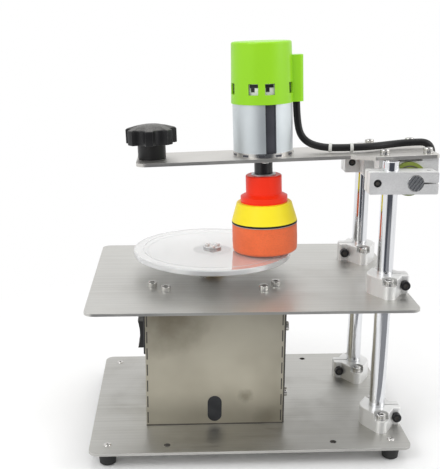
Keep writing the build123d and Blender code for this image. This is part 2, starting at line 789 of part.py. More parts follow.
# ================================================================ rod clamps and pivot shaft
for label, rod_y in (("rod_clamp_front", rod_front_y), ("rod_clamp_back", rod_back_y)):
    clamp_face = Plane(origin=(rod_x, rod_y - clamp_w / 2, pivot_z), x_dir=(1, 0, 0), z_dir=(0, -1, 0))
    clamp_len = clamp_to_left + rod_to_pivot + clamp_past_pivot
    clamp_mid = clamp_len / 2 - clamp_to_left
    slit_len = clamp_past_pivot
    screw_at = (-clamp_screw_reach, 0)
    with BuildPart() as rod_clamp:
        with BuildSketch(clamp_face):
            with Locations((clamp_mid, 0)):
                RectangleRounded(clamp_len, clamp_h, clamp_corner)
        extrude(amount=-clamp_w)
        with BuildSketch(clamp_face):
            with Locations((rod_to_pivot, 0)):
                Circle(pivot_r + slip)
            with Locations((rod_to_pivot + slit_len / 2, 0)):
                Rectangle(slit_len, clamp_slit)
            with Locations(screw_at):
                Circle(m3_r + ease)
        extrude(amount=-clamp_w, mode=Mode.SUBTRACT)
        with BuildSketch(clamp_face):
            with Locations(screw_at):
                Circle(m3_head_r + ease)
        extrude(amount=-m3_head_h - sink, mode=Mode.SUBTRACT)
        with BuildSketch(Plane(origin=(rod_x, rod_y, pivot_z - clamp_h / 2))):
            Circle(rod_r + slip)
            with Locations((-clamp_to_left / 2, 0)):
                Rectangle(clamp_to_left, clamp_slit)
            with Locations((rod_to_pivot + pivot_screw_reach, 0)):
                Circle(m3_r + ease)
        extrude(amount=clamp_h, mode=Mode.SUBTRACT)
        with BuildSketch(Plane(origin=(rod_x, rod_y, pivot_z - clamp_h / 2))):
            with Locations((rod_to_pivot + pivot_screw_reach, 0)):
                Circle(m3_head_r + ease)
        extrude(amount=m3_head_h + sink, mode=Mode.SUBTRACT)
    finish(rod_clamp, label)

# In each clamp one screw closes the slit to the rod and one the slit to the pivot shaft.
rod_screw_groups = []
for y in (rod_front_y, rod_back_y):
    rod_seat_at = (rod_x - clamp_screw_reach, y - clamp_w / 2 + m3_head_h + sink, pivot_z)
    pivot_seat_at = (pivot_x + pivot_screw_reach, y, pivot_z - clamp_h / 2 + m3_head_h + sink)
    rod_seat = Plane(origin=rod_seat_at, x_dir=(1, 0, 0), z_dir=(0, -1, 0))
    pivot_seat = Plane(origin=pivot_seat_at, x_dir=(1, 0, 0), z_dir=(0, 0, -1))
    rod_shank = (m3_r, clamp_w - m3_head_h - 2 * sink)
    pivot_shank = (m3_r, clamp_h - m3_head_h - 2 * sink)
    rod_screw_groups.append((rod_seat, [(0, 0)], (m3_head_r, m3_head_h), rod_shank))
    rod_screw_groups.append((pivot_seat, [(0, 0)], (m3_head_r, m3_head_h), pivot_shank))
rod_clamp_screws = screws(*rod_screw_groups)
finish(rod_clamp_screws, "rod_clamp_screws")

with BuildPart() as pivot_shaft:
    with BuildSketch(Plane(origin=(pivot_x, rod_front_y - clamp_w / 2, pivot_z), z_dir=(0, 1, 0))):
        Circle(pivot_r)
    extrude(amount=rod_back_y - rod_front_y + clamp_w)
    chamfer(pivot_shaft.faces().filter_by(GeomType.PLANE).edges(), edge_break)
finish(pivot_shaft, "pivot_shaft")

# ================================================================ hinge and arm
# Widths along the hinge axis, from the arm's middle.
bush_outer_y = (rod_back_y - rod_front_y) / 2 - clamp_w / 2 - air
hinge_outer_y = bush_outer_y - flange_t
hinge_mid_y = hinge_outer_y - hinge_t / 2
hinge_screw_spots = [(x * hinge_screw_reach, y * hinge_mid_y) for x in (-1, 1) for y in (-1, 1)]

for label, side in (("hinge_block_front", -1), ("hinge_block_back", 1)):
    with BuildPart() as hinge_block:
        with BuildSketch(across_arm(side * hinge_mid_y)) as block_face:
            with Locations((0, (arm_over_pivot - hinge_below) / 2)):
                Rectangle(hinge_w, arm_over_pivot + hinge_below)
            chamfer(block_face.vertices().group_by(Axis.Y)[0], hinge_corner)
            Circle(bush_r + slip, mode=Mode.SUBTRACT)
            with Locations((0, arm_over_pivot - hinge_relief_h / 2)):
                Rectangle(hinge_relief_w, hinge_relief_h, mode=Mode.SUBTRACT)
            with Locations((hinge_w / 4, 0)):
                Rectangle(hinge_w / 2, clamp_slit, mode=Mode.SUBTRACT)
        extrude(amount=hinge_t / 2, both=True)
        with BuildSketch(ARM.offset(arm_over_pivot)):
            with Locations((-hinge_screw_reach, side * hinge_mid_y), (hinge_screw_reach, side * hinge_mid_y)):
                Circle(m4_r + ease)
        extrude(amount=-hinge_screw_len - bore_past, mode=Mode.SUBTRACT)
    finish(hinge_block, label)

with BuildPart() as flange_bushes:
    for side in (-1, 1):
        with BuildSketch(across_arm(side * (hinge_outer_y - hinge_t))):
            Circle(bush_r)
            Circle(pivot_r + slip, mode=Mode.SUBTRACT)
        extrude(amount=-side * hinge_t)
        with BuildSketch(across_arm(side * hinge_outer_y)):
            Circle(flange_r)
            Circle(pivot_r + slip, mode=Mode.SUBTRACT)
        extrude(amount=-side * flange_t)
finish(flange_bushes, "flange_bushes")

motor_screw_spots = [(-motor_reach, y * motor_screw_reach) for y in (-1, 1)]
with BuildPart() as arm_plate:
    with BuildSketch(ARM.offset(arm_over_pivot)) as arm_outline:
        with BuildLine():
            shoulder = -head_reach - head_slant
            upper = Polyline(
                (-arm_reach, 0),
                (-arm_reach, arm_w / 2),
                (shoulder, arm_w / 2),
                (-head_reach, head_w / 2),
                (head_right, head_w / 2),
                (head_right, 0),
            )
            mirror(upper, about=Plane.XZ)
        make_face()
        fillet(arm_outline.vertices().group_by(Axis.X)[0], arm_corner)
        fillet(arm_outline.vertices().group_by(Axis.X)[-1], head_corner)
        with Locations(*hinge_screw_spots, *motor_screw_spots):
            Circle(m4_r + ease, mode=Mode.SUBTRACT)
        with Locations((-motor_reach, 0)):
            Circle(nose_r + ease, mode=Mode.SUBTRACT)
        with Locations((knob_in - arm_reach, 0)):
            Circle(stud_r + ease, mode=Mode.SUBTRACT)
    extrude(amount=arm_t)
finish(arm_plate, "arm_plate")

hinge_screws = screws(
    (ARM.offset(arm_top), hinge_screw_spots, (m4_head_r, m4_head_h), (m4_r, arm_t + hinge_screw_len))
)
finish(hinge_screws, "hinge_screws")

# ---------------------------------------------------------------- star knob, fixed by a stud
with BuildPart() as star_knob:
    with BuildSketch(KNOB.offset(knob_stem_h)) as knob_outline:
        Circle(knob_r)
        with PolarLocations(knob_r + flute_out, knob_lobes, start_angle=-90):
            Circle(flute_r, mode=Mode.SUBTRACT)
        fillet(knob_outline.vertices(), lobe_round)
    extrude(amount=knob_head_h + knob_dome)
    with BuildSketch(KNOB_SIDE):
        with BuildLine():
            rim_n = knob_stem_h + knob_head_h
            dome_r = (knob_r**2 + knob_dome**2) / (2 * knob_dome)
            half_chord = knob_r / 2
            half_n = rim_n + knob_dome - dome_r + (dome_r**2 - half_chord**2) ** 0.5
            ThreePointArc((knob_r, rim_n), (half_chord, half_n), (0, rim_n + knob_dome))
            Polyline((0, rim_n + knob_dome), (0, knob_stem_h), (knob_r, knob_stem_h), (knob_r, rim_n))
        make_face()
    revolve(axis=Axis(KNOB.origin, KNOB.z_dir), mode=Mode.INTERSECT)
    with BuildSketch(KNOB):
        Circle(knob_stem_r)
    extrude(amount=knob_stem_h)
    with BuildSketch(KNOB):
        Circle(stud_r + slip)
    extrude(amount=stud_in_knob + bore_past, mode=Mode.SUBTRACT)
finish(star_knob, "star_knob")

with BuildPart() as knob_stud:
    with BuildSketch(KNOB.offset(-arm_t)):
        Circle(stud_head_r)
    extrude(amount=-stud_head_h)
    chamfer(knob_stud.faces().sort_by(Axis.Z)[0].edges(), edge_break)
    with BuildSketch(KNOB.offset(-arm_t)):
        Circle(stud_r)
    extrude(amount=arm_t + stud_in_knob)
finish(knob_stud, "knob_stud")

# ================================================================ motor
can_foot = MOTOR.offset(arm_top)
with BuildPart() as motor_can:
    with BuildSketch(can_foot):
        Circle(can_r)
    extrude(amount=can_h)
    chamfer(motor_can.edges().sort_by(MOTOR_AXIS)[0], can_step - slip)
    with BuildSketch(can_foot):
        Circle(nose_r)
    extrude(amount=-arm_t)
    with BuildSketch(MOTOR.offset(arm_over_pivot)):
        Circle(shaft_r + slip)
    extrude(amount=arm_t + shaft_in, mode=Mode.SUBTRACT)
    with BuildSketch(can_foot):
        with Locations((0, -motor_screw_reach), (0, motor_screw_reach)):
            Circle(m3_r + ease)
    extrude(amount=motor_screw_len + bore_past, mode=Mode.SUBTRACT)
finish(motor_can, "motor_can")

ring_outer_r = can_r + slip + ring_t
with BuildPart() as flux_ring:
    with BuildSketch(MOTOR.offset(arm_top + can_step)):
        Circle(ring_outer_r)
        Circle(can_r + slip, mode=Mode.SUBTRACT)
        with PolarLocations(can_r, 1, start_angle=ring_gap_at):
            Rectangle(can_r, ring_gap, mode=Mode.SUBTRACT)
    extrude(amount=ring_h)
finish(flux_ring, "flux_ring")

with BuildPart() as motor_bell:
    with BuildSketch(can_foot.offset(can_h)):
        Circle(bell_r)
    extrude(amount=bell_h)
    chamfer(motor_bell.edges().sort_by(MOTOR_AXIS)[-1], bell_edge)
    with BuildSketch(can_foot.offset(can_h + bell_h)):
        Circle(nose_r)
    extrude(amount=bell_nose_h)
finish(motor_bell, "motor_bell")

with BuildPart() as motor_cap:
    with BuildSketch(MOTOR_SIDE) as cap_outside:
        with BuildLine():
            Polyline(
                (0, cap_n), (cap_bottom_r, cap_n), (cap_top_r, cap_n + cap_h), (0, cap_n + cap_h), close=True
            )
        make_face()
        fillet(cap_outside.vertices().group_by(Axis.Y)[-1].sort_by(Axis.X)[-1], cap_round)
    revolve(axis=MOTOR_AXIS)
    with BuildSketch(MOTOR.offset(cap_n)) as outlet_outline:
        with Locations(((outlet_reach + cap_top_r - cap_wall) / 2, 0)):
            Rectangle(outlet_reach - cap_top_r + cap_wall, outlet_w)
        fillet(outlet_outline.vertices().group_by(Axis.X)[-1], outlet_corner)
    extrude(amount=outlet_h)
    with BuildSketch(MOTOR_SIDE):
        with BuildLine():
            inner_top_r = cap_top_r - cap_wall
            Polyline(
                (0, cap_n),
                (cap_bottom_r - cap_wall, cap_n),
                (inner_top_r, cap_n + cap_h - cap_wall),
                (0, cap_n + cap_h - cap_wall),
                close=True,
            )
        make_face()
    revolve(axis=MOTOR_AXIS, mode=Mode.SUBTRACT)
    for angle in [vent_turn + side * a for a in vent_angles for side in (-1, 1)]:
        outward = MOTOR.x_dir * sin(radians(angle)) - MOTOR.y_dir * cos(radians(angle))
        window = Plane(
            origin=MOTOR.origin + MOTOR.z_dir * (cap_n + vent_up + vent_h / 2),
            x_dir=MOTOR.z_dir,
            z_dir=outward,
        )
        with BuildSketch(window.offset(cap_top_r - 2 * cap_wall)):
            Rectangle(vent_h, vent_w)
        extrude(amount=4 * cap_wall, mode=Mode.SUBTRACT)
    with BuildSketch(MOTOR.offset(cap_n)):
        with Locations((outlet_hole_reach, 0)):
            Circle(cable_r + slip)
    extrude(amount=outlet_hole_h, mode=Mode.SUBTRACT)
finish(motor_cap, "motor_cap")

# These two come up from under the arm, so they are placed in a plane that faces down.
arm_underside = Plane(
    origin=ARM.from_local_coords((0, 0, arm_over_pivot)), x_dir=ARM.x_dir, z_dir=-ARM.z_dir
)
arm_under_spots = [(x, -y) for x, y in motor_screw_spots]
motor_shank = (m3_r, arm_t + motor_screw_len)
motor_screws = screws((arm_underside, arm_under_spots, (m3_head_r, motor_head_h), motor_shank))
finish(motor_screws, "motor_screws")

# ================================================================ pad and its spindle
with BuildPart() as motor_shaft:
    with BuildSketch(MOTOR.offset(coupling_n + shaft_seat)):
        Circle(shaft_r)
    extrude(amount=arm_top + shaft_in - bore_past - coupling_n - shaft_seat)
finish(motor_shaft, "motor_shaft")

with BuildPart() as drive_coupling:
    with BuildSketch(MOTOR.offset(coupling_n)):
        Circle(coupling_r)
    extrude(amount=coupling_h)
    chamfer(drive_coupling.faces().filter_by(GeomType.PLANE).edges(), edge_break)
    with BuildSketch(MOTOR.offset(coupling_n + shaft_seat)):
        Circle(shaft_r + slip)
    extrude(amount=coupling_h, mode=Mode.SUBTRACT)
finish(drive_coupling, "drive_coupling")

with BuildPart() as pad_hub:
    with BuildSketch(MOTOR_SIDE) as hub_side:
        with BuildLine():
            flare_n = hub_n - hub_waist_h
            Polyline(
                (0, hub_n),
                (hub_r, hub_n),
                (hub_r, flare_n),
                (hub_flange_r, flare_n - hub_flare_h),
                (hub_flange_r, cone_n),
                (0, cone_n),
                close=True,
            )
        make_face()
        fillet(hub_side.vertices().group_by(Axis.Y)[-1].sort_by(Axis.X)[-1], hub_round)
    revolve(axis=MOTOR_AXIS)
    with BuildSketch(MOTOR.offset(hub_n)):
        Circle(coupling_r + slip)
    extrude(amount=-hub_socket, mode=Mode.SUBTRACT)
finish(pad_hub, "pad_hub")

with BuildPart() as hub_ring:
    with BuildSketch(MOTOR.offset(hub_n)):
        Circle(hub_ring_r)
        Circle(coupling_r + slip, mode=Mode.SUBTRACT)
    extrude(amount=hub_ring_h)
    chamfer(hub_ring.edges().sort_by(SortBy.LENGTH)[-1], sink)
finish(hub_ring, "hub_ring")

with BuildPart() as backing_cone:
    with BuildSketch(MOTOR_SIDE) as cone_side:
        with BuildLine():
            Polyline((0, cone_n), (cone_top_r, cone_n), (pad_r, hook_n), (0, hook_n), close=True)
        make_face()
        fillet(cone_side.vertices().group_by(Axis.Y)[-1].sort_by(Axis.X)[-1], cone_round)
    revolve(axis=MOTOR_AXIS)
finish(backing_cone, "backing_cone")

pad_layers = (
    ("hook_disc", hook_n, hook_t, sink),
    ("loop_disc", loop_n, loop_t, ease),
    ("polishing_pad", foam_n, pad_h, pad_round),
)
for label, top_n, thickness, edge_cut in pad_layers:
    with BuildPart() as layer:
        with BuildSketch(MOTOR.offset(top_n)):
            Circle(pad_r)
        extrude(amount=-thickness)
        chamfer(layer.edges().filter_by(GeomType.CIRCLE), edge_cut)
    finish(layer, label)

# ================================================================ cable
# The cable leaves the cap downwards, lies along the arm under two ties, goes over the arm's
# right end and down behind the back rod, and through both grommets into the box.
cable_start = MOTOR.from_local_coords((outlet_hole_reach, 0, cap_n + outlet_hole_h))
grommet_x = table_grommet_spot[0]
grommet_y = table_grommet_spot[1]
box_entry_y = box_to_back + box_grommet_spot[0]
box_entry_z = box_mid + box_grommet_spot[1]
cable_route = [
    (45.9, -3.8, 229.0),
    (60.0, -9.0, 220.9),
    (78.0, -12.8, 222.3),
    (94.0, -11.2, 222.9),
    (110.0, -4.2, 223.5),
    (126.0, -3.5, 224.7),
    (143.2, -5.0, 225.2),
    (147.5, 1.0, 209.5),
    (150.0, 17.0, 202.0),
    (147.5, 35.0, 197.0),
    (138.5, 51.5, 193.0),
    (121.0, 59.0, 190.0),
    (106.0, 59.0, 181.0),
    (103.5, 57.5, 161.0),
    (103.8, 61.0, 143.0),
    (grommet_x, grommet_y, 127.0),
    (grommet_x, grommet_y, 112.0),
    (99.7, 64.5, 99.0),
    (88.8, 57.5, 91.5),
    (66.0, 43.0, 91.0),
    (44.0, box_entry_y, box_entry_z),
]
cable_points = [cable_start, cable_start - MOTOR.z_dir * cable_drop]
cable_points += [Vector(x + plate_x, y, z) for x, y, z in cable_route]
cable_points += [Vector(box_x + box_w / 2 - cable_in_box, box_entry_y, box_entry_z)]
cable_bends = []
for before, at, after in zip(cable_points, cable_points[1:], cable_points[2:]):
    shorter_run = min((at - before).length, (after - at).length)
    turn = radians((at - before).get_angle(after - at))
    cable_bends.append(0.45 * shorter_run / tan(turn / 2))
print("cable bends, mm:", [round(bend, 1) for bend in cable_bends])

with BuildPart() as motor_cable:
    with BuildLine() as cable_line:
        FilletPolyline(*cable_points, radius=cable_bends)
    with BuildSketch(Plane(origin=cable_line.line @ 0, z_dir=cable_line.line % 0)):
        Circle(cable_r)
    sweep()
finish(motor_cable, "motor_cable")
cable_wire = cable_line.wires()[0]
swept_share = motor_cable.part.volume / (cable_wire.length * pi * cable_r**2)
print("cable length, mm:", round(cable_wire.length, 1), "swept share:", round(swept_share, 4))

# Ties are bands round the cable, each with its square lock on the back.
with BuildPart() as cable_ties:
    for along in ties_along:
        tie_at = cable_wire.position_at(along, position_mode=PositionMode.LENGTH)
        tie_way = cable_wire.tangent_at(along, position_mode=PositionMode.LENGTH)
        across = tie_way.cross(ARM.z_dir)
        with BuildSketch(Plane(origin=tie_at, x_dir=across, z_dir=tie_way)):
            Circle(cable_r + slip + tie_t)
            with Locations((-cable_r - tie_lock_out, 0)):
                Rectangle(*tie_lock)
            Circle(cable_r + slip, mode=Mode.SUBTRACT)
        extrude(amount=tie_w / 2, both=True)
finish(cable_ties, "cable_ties")

# A grommet has a lip on each side of its panel and fills the panel's hole.
table_grommet_face = Plane(origin=(plate_x + grommet_x, grommet_y, table_top), z_dir=(0, 0, 1))
box_grommet_face = Plane(
    origin=RIGHT.from_local_coords((*box_grommet_spot, 0)), x_dir=RIGHT.x_dir, z_dir=RIGHT.z_dir
)
with BuildPart() as cable_grommets:
    for face, panel_t in ((table_grommet_face, plate_t), (box_grommet_face, box_wall)):
        with BuildSketch(face.offset(grommet_lip_t)):
            Circle(grommet_hole_r + grommet_lip)
        extrude(amount=-grommet_lip_t, taper=-grommet_taper)
        with BuildSketch(face):
            Circle(grommet_hole_r - slip)
        extrude(amount=-panel_t)
        with BuildSketch(face.offset(-panel_t - grommet_lip_t)):
            Circle(grommet_hole_r + grommet_lip)
        extrude(amount=grommet_lip_t, taper=-grommet_taper)
        with BuildSketch(face.offset(grommet_lip_t)):
            Circle(cable_r + 4 * slip)
        extrude(amount=-panel_t - 2 * grommet_lip_t, mode=Mode.SUBTRACT)
finish(cable_grommets, "cable_grommets")
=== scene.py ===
"""Looks of the disc repair machine: its finishes, small parts and cable, and the studio around it.

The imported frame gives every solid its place, in metres: +X to the right, +Y to the back, +Z up. The
classes below dress its nodes, and replace the ones that need a finer or a softer form.
"""

import json
import logging
from collections.abc import Callable, Sequence
from dataclasses import dataclass, field, replace
from enum import Enum
from math import cos, pi, radians, sin, sqrt, tau

import bmesh
import bpy
from bpy.types import Material, Mesh, Node, NodeSocket, NodeTree, Object
from mathutils import Matrix, Vector, noise


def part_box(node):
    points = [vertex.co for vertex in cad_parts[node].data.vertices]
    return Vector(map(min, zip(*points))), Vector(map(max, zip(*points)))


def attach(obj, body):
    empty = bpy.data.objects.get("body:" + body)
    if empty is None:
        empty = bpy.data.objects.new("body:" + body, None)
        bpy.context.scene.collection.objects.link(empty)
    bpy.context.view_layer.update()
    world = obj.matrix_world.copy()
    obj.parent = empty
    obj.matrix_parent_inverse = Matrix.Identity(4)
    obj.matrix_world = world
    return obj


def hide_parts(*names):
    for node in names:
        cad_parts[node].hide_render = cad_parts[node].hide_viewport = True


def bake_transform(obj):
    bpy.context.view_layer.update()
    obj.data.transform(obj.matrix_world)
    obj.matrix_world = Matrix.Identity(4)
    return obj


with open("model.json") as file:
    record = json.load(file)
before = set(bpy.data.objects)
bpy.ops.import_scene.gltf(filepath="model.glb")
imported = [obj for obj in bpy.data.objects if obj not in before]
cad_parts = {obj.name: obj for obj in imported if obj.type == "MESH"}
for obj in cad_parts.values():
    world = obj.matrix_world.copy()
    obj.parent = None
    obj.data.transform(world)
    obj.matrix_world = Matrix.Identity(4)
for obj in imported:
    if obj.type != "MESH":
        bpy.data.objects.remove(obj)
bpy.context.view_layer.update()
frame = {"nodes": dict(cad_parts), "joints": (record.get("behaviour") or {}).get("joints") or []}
LOG = logging.getLogger("disc_repair_machine")
MM = 0.001

Colour = tuple[float, float, float]
Point = tuple[float, float, float]
Pair = tuple[float, float]
Ring = list[Vector]
Spot = tuple[Vector, Vector, Vector]  # place, aim and side
Inputs = dict[str | int, object]  # values or output sockets by a node's input name or number
Outputs = dict[str, NodeSocket]


# ---------------------------------------------------------------- places
def joint_place(name: str) -> tuple[Vector, Vector]:
    """A point on a joint's axis and the axis's direction."""
    joint = next(j for j in frame["joints"] if j["name"] == name)
    return Vector(joint["pos_m"]), Vector(joint["axis"]).normalized()


def standing(origin: Vector, x_dir: Vector, z_dir: Vector) -> Matrix:
    """The matrix of a place with these X and Z directions."""
    turned = Matrix((x_dir, z_dir.cross(x_dir), z_dir)).transposed().to_4x4()
    return Matrix.Translation(origin) @ turned


def middle(node: str) -> Vector:
    """The middle of a CAD node's box."""
    low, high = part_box(node)
    return (low + high) / 2


def on_top(node: str, over: Vector) -> Matrix:
    """The place on top of a CAD node's box, straight above or below a point."""
    return Matrix.Translation((over.x, over.y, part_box(node)[1].z))


def round_points(radius: float, degrees: Sequence[float]) -> list[Pair]:
    """Points on a circle about the origin."""
    return [(radius * cos(radians(d)), radius * sin(radians(d))) for d in degrees]


def corners(x: float, y: float) -> list[Pair]:
    """The corners of a rectangle about the origin, from its half sizes."""
    return [(i * x, j * y) for i in (-1, 1) for j in (-1, 1)]


RIGHT, BACK, UP = Vector((1, 0, 0)), Vector((0, 1, 0)), Vector((0, 0, 1))
MOTOR_AT, MOTOR_AXIS = joint_place("pad_spin")
PIVOT_AT, _ = joint_place("arm_pivot")
SPINDLE_AT, _ = joint_place("turntable_spin")
ARM_X = Vector((MOTOR_AXIS.z, 0, -MOTOR_AXIS.x))
MOTOR = standing(MOTOR_AT, ARM_X, MOTOR_AXIS)
ARM = standing(PIVOT_AT, ARM_X, MOTOR_AXIS)
FLAT = Matrix.Identity(4)


# ---------------------------------------------------------------- shader nodes
@dataclass
class Wiring:
    """Adds nodes to one tree and links them."""

    tree: NodeTree
    place: NodeSocket | None = None  # the coordinates that its textures read

    def feed(self, node: Node, inputs: Inputs) -> None:
        """Link or set some of a node's inputs."""
        for key, value in inputs.items():
            if isinstance(value, NodeSocket):
                self.tree.links.new(value, node.inputs[key])
            else:
                node.inputs[key].default_value = value

    def add(self, kind: str, inputs: Inputs | None = None, **settings: object) -> Node:
        """Add one node.

        Args:
            kind: The node's type.
            inputs: What its inputs take.
            settings: The node's own properties.

        Returns:
            The new node.
        """
        node = self.tree.nodes.new(kind)
        for name, value in settings.items():
            setattr(node, name, value)
        self.feed(node, inputs or {})
        return node

    def out(self, kind: str, inputs: Inputs | None = None, output: str | int = 0,
            **settings: object) -> NodeSocket:
        """Add one node and take one of its outputs."""
        return self.add(kind, inputs, **settings).outputs[output]

    def sum_up(self, operation: str, *values: object) -> NodeSocket:
        """A Math node's result."""
        return self.out("ShaderNodeMath", dict(enumerate(values)), operation=operation)

    def measure(self, operation: str, *vectors: object) -> NodeSocket:
        """A number that a Vector Math node gives, such as a length."""
        return self.out("ShaderNodeVectorMath", dict(enumerate(vectors)), "Value",
                        operation=operation)

    def spread(self, value: NodeSocket, low: float, high: float, start: float = 0.0,
               end: float = 1.0) -> NodeSocket:
        """Carry a value from the range start to end over to the range low to high, clamped."""
        return self.out("ShaderNodeMapRange", {0: value, 1: start, 2: end, 3: low, 4: high})

    def tint(self, share: object, first: object, second: object, way: str = "MIX") -> NodeSocket:
        """Mix two colours.

        Args:
            share: How much of the second, a socket or a number.
            first: A colour or a colour socket.
            second: A colour or a colour socket.
            way: The blend type.

        Returns:
            The mixed colour's socket.
        """
        pair = [(*c, 1.0) if isinstance(c, tuple) else c for c in (first, second)]
        inputs = {0: share, 6: pair[0], 7: pair[1]}
        return self.out("ShaderNodeMix", inputs, 2, data_type="RGBA", blend_type=way)

    def cloud(self, scale: object, detail: float = 2.0, rough: float = 0.5,
              place: NodeSocket | None = None, bend: float = 0.0) -> NodeSocket:
        """A noise texture's value, at the tree's coordinates or at others."""
        return self.out("ShaderNodeTexNoise", {
            "Vector": place or self.place, "Scale": scale, "Detail": detail, "Roughness": rough,
            "Distortion": bend,
        })

    def cells(self, scale: float) -> NodeSocket:
        """The distance to the middle of the nearest of many round cells."""
        inputs = {"Vector": self.place, "Scale": scale}
        return self.out("ShaderNodeTexVoronoi", inputs, "Distance")

    def bump(self, height: NodeSocket, depth: float, strength: float = 1.0,
             below: NodeSocket | None = None) -> NodeSocket:
        """A normal dented by a height, on top of another normal if there is one."""
        inputs = {"Height": height, "Strength": strength, "Distance": depth}
        return self.out("ShaderNodeBump", {**inputs, "Normal": below} if below else inputs)


def emptied(owner: bpy.types.ID) -> Wiring:
    """The wiring of a new material or world, its first nodes taken out."""
    owner.use_nodes = True
    owner.node_tree.nodes.clear()
    return Wiring(owner.node_tree)


class Effect:
    """Shader effects that several finishes share, each built once as a node group."""

    built: dict[str, NodeTree] = {}

    @classmethod
    def use(cls, wires: Wiring, name: str, values: Inputs,
            draw: Callable[[Wiring, Node], Outputs]) -> Node:
        """Put a group into a material, and draw the group when it is first asked for.

        Args:
            wires: The material's wiring.
            name: The group's name.
            values: What its inputs take here. A number makes a value input, else it is a vector.
            draw: Lays the nodes after the group's input node and gives its value outputs.

        Returns:
            The group's node in the material.
        """
        if name not in cls.built:
            tree = bpy.data.node_groups.new(name, "ShaderNodeTree")
            for label, value in values.items():
                kind = "NodeSocketFloat" if isinstance(value, float) else "NodeSocketVector"
                tree.interface.new_socket(label, in_out="INPUT", socket_type=kind)
            inner = Wiring(tree)
            entry = inner.add("NodeGroupInput")
            inner.place = entry.outputs.get("Place")
            results = draw(inner, entry)
            for label in results:
                tree.interface.new_socket(label, in_out="OUTPUT", socket_type="NodeSocketFloat")
            inner.add("NodeGroupOutput", results)
            cls.built[name] = tree
        return wires.add("ShaderNodeGroup", values, node_tree=cls.built[name])

    @classmethod
    def edge_rub(cls, wires: Wiring, radius: float) -> NodeSocket:
        """How much a point lies on a rubbed edge.

        Args:
            wires: The material's wiring.
            radius: How far the rub reaches from the edge, in metres.

        Returns:
            A mask, 0 on the flats.
        """

        def draw(inner: Wiring, entry: Node) -> Outputs:
            """Compare the rounded normal with the true one."""
            rounded = inner.out("ShaderNodeBevel", {"Radius": entry.outputs["Radius"]}, samples=4)
            facing = inner.measure("DOT_PRODUCT", rounded,
                                   inner.out("ShaderNodeNewGeometry", output="Normal"))
            return {"Mask": inner.spread(facing, 1.0, 0.0, 0.80, 0.995)}

        return cls.use(wires, "rubbed edge", {"Radius": radius}, draw).outputs["Mask"]

    @classmethod
    def grain(cls, wires: Wiring, stretch: Point) -> Node:
        """Fine parallel scratches.

        Args:
            wires: The material's wiring.
            stretch: Cells per metre along X, Y and Z.

        Returns:
            The group's node, with the outputs Fine and Coarse.
        """

        def draw(inner: Wiring, entry: Node) -> Outputs:
            """Two noises on stretched coordinates."""
            pair = {0: inner.place, 1: entry.outputs["Stretch"]}
            pulled = inner.out("ShaderNodeVectorMath", pair, operation="MULTIPLY")
            return {"Fine": inner.cloud(1.0, 3.0, 0.7, pulled),
                    "Coarse": inner.cloud(0.16, 2.0, 0.6, pulled)}

        return cls.use(wires, "brushed grain", {"Place": wires.place, "Stretch": stretch}, draw)

    @classmethod
    def smudges(cls, wires: Wiring, scale: float) -> NodeSocket:
        """Blotches that hands and cloths leave.

        Args:
            wires: The material's wiring.
            scale: Blotches per metre.

        Returns:
            A mask, mostly 0 with soft patches up to 1.
        """

        def draw(inner: Wiring, entry: Node) -> Outputs:
            """Broad patches broken by finer ones."""
            size = entry.outputs["Scale"]
            patch = inner.cloud(size, 3.0, bend=0.6)
            streak = inner.cloud(inner.sum_up("MULTIPLY", size, 5.0), 3.0)
            return {"Mask": inner.sum_up("MULTIPLY", inner.spread(patch, 0.0, 1.0, 0.47, 0.66),
                                         inner.spread(streak, 0.5, 1.0, 0.35, 0.6))}

        values = {"Place": wires.place, "Scale": scale}
        return cls.use(wires, "smudges", values, draw).outputs["Mask"]

    @classmethod
    def dust_and_sheen(cls, wires: Wiring) -> NodeSocket:
        """A light veil on faces that look up: settled dust, and on the knob a painted sheen."""

        def draw(inner: Wiring, entry: Node) -> Outputs:
            """The normal's height, broken by noise."""
            normal = inner.out("ShaderNodeNewGeometry", output="Normal")
            height = inner.out("ShaderNodeSeparateXYZ", {0: normal}, "Z")
            specks = inner.cloud(900.0, 4.0, 0.7)
            return {"Mask": inner.sum_up("MULTIPLY", inner.spread(height, 0.0, 1.0, 0.5, 1.0),
                                         inner.spread(specks, 0.2, 1.0, 0.3, 0.7))}

        return cls.use(wires, "settled dust and painted sheen", {"Place": wires.place}, draw).outputs["Mask"]


# ---------------------------------------------------------------- finishes
# Colour of the veil on up-facing faces: settled dust, and on the knob a painted sheen.
DUST_AND_SHEEN_COLOUR = (0.55, 0.53, 0.50)
STEEL_GRAIN = (20.0, 3600.0, 3600.0)
SECOND_SHADE = 0.86  # of the body colour, where a finish names no second colour
BOX_STAINS = (
    ((-0.070, -0.046, 0.109), 0.034, 0.95), ((-0.012, -0.046, 0.037), 0.006, 0.6),
    ((0.004, -0.046, 0.019), 0.010, 0.4),
)


def grey(value: float) -> Colour:
    """A neutral colour."""
    return (value, value, value)


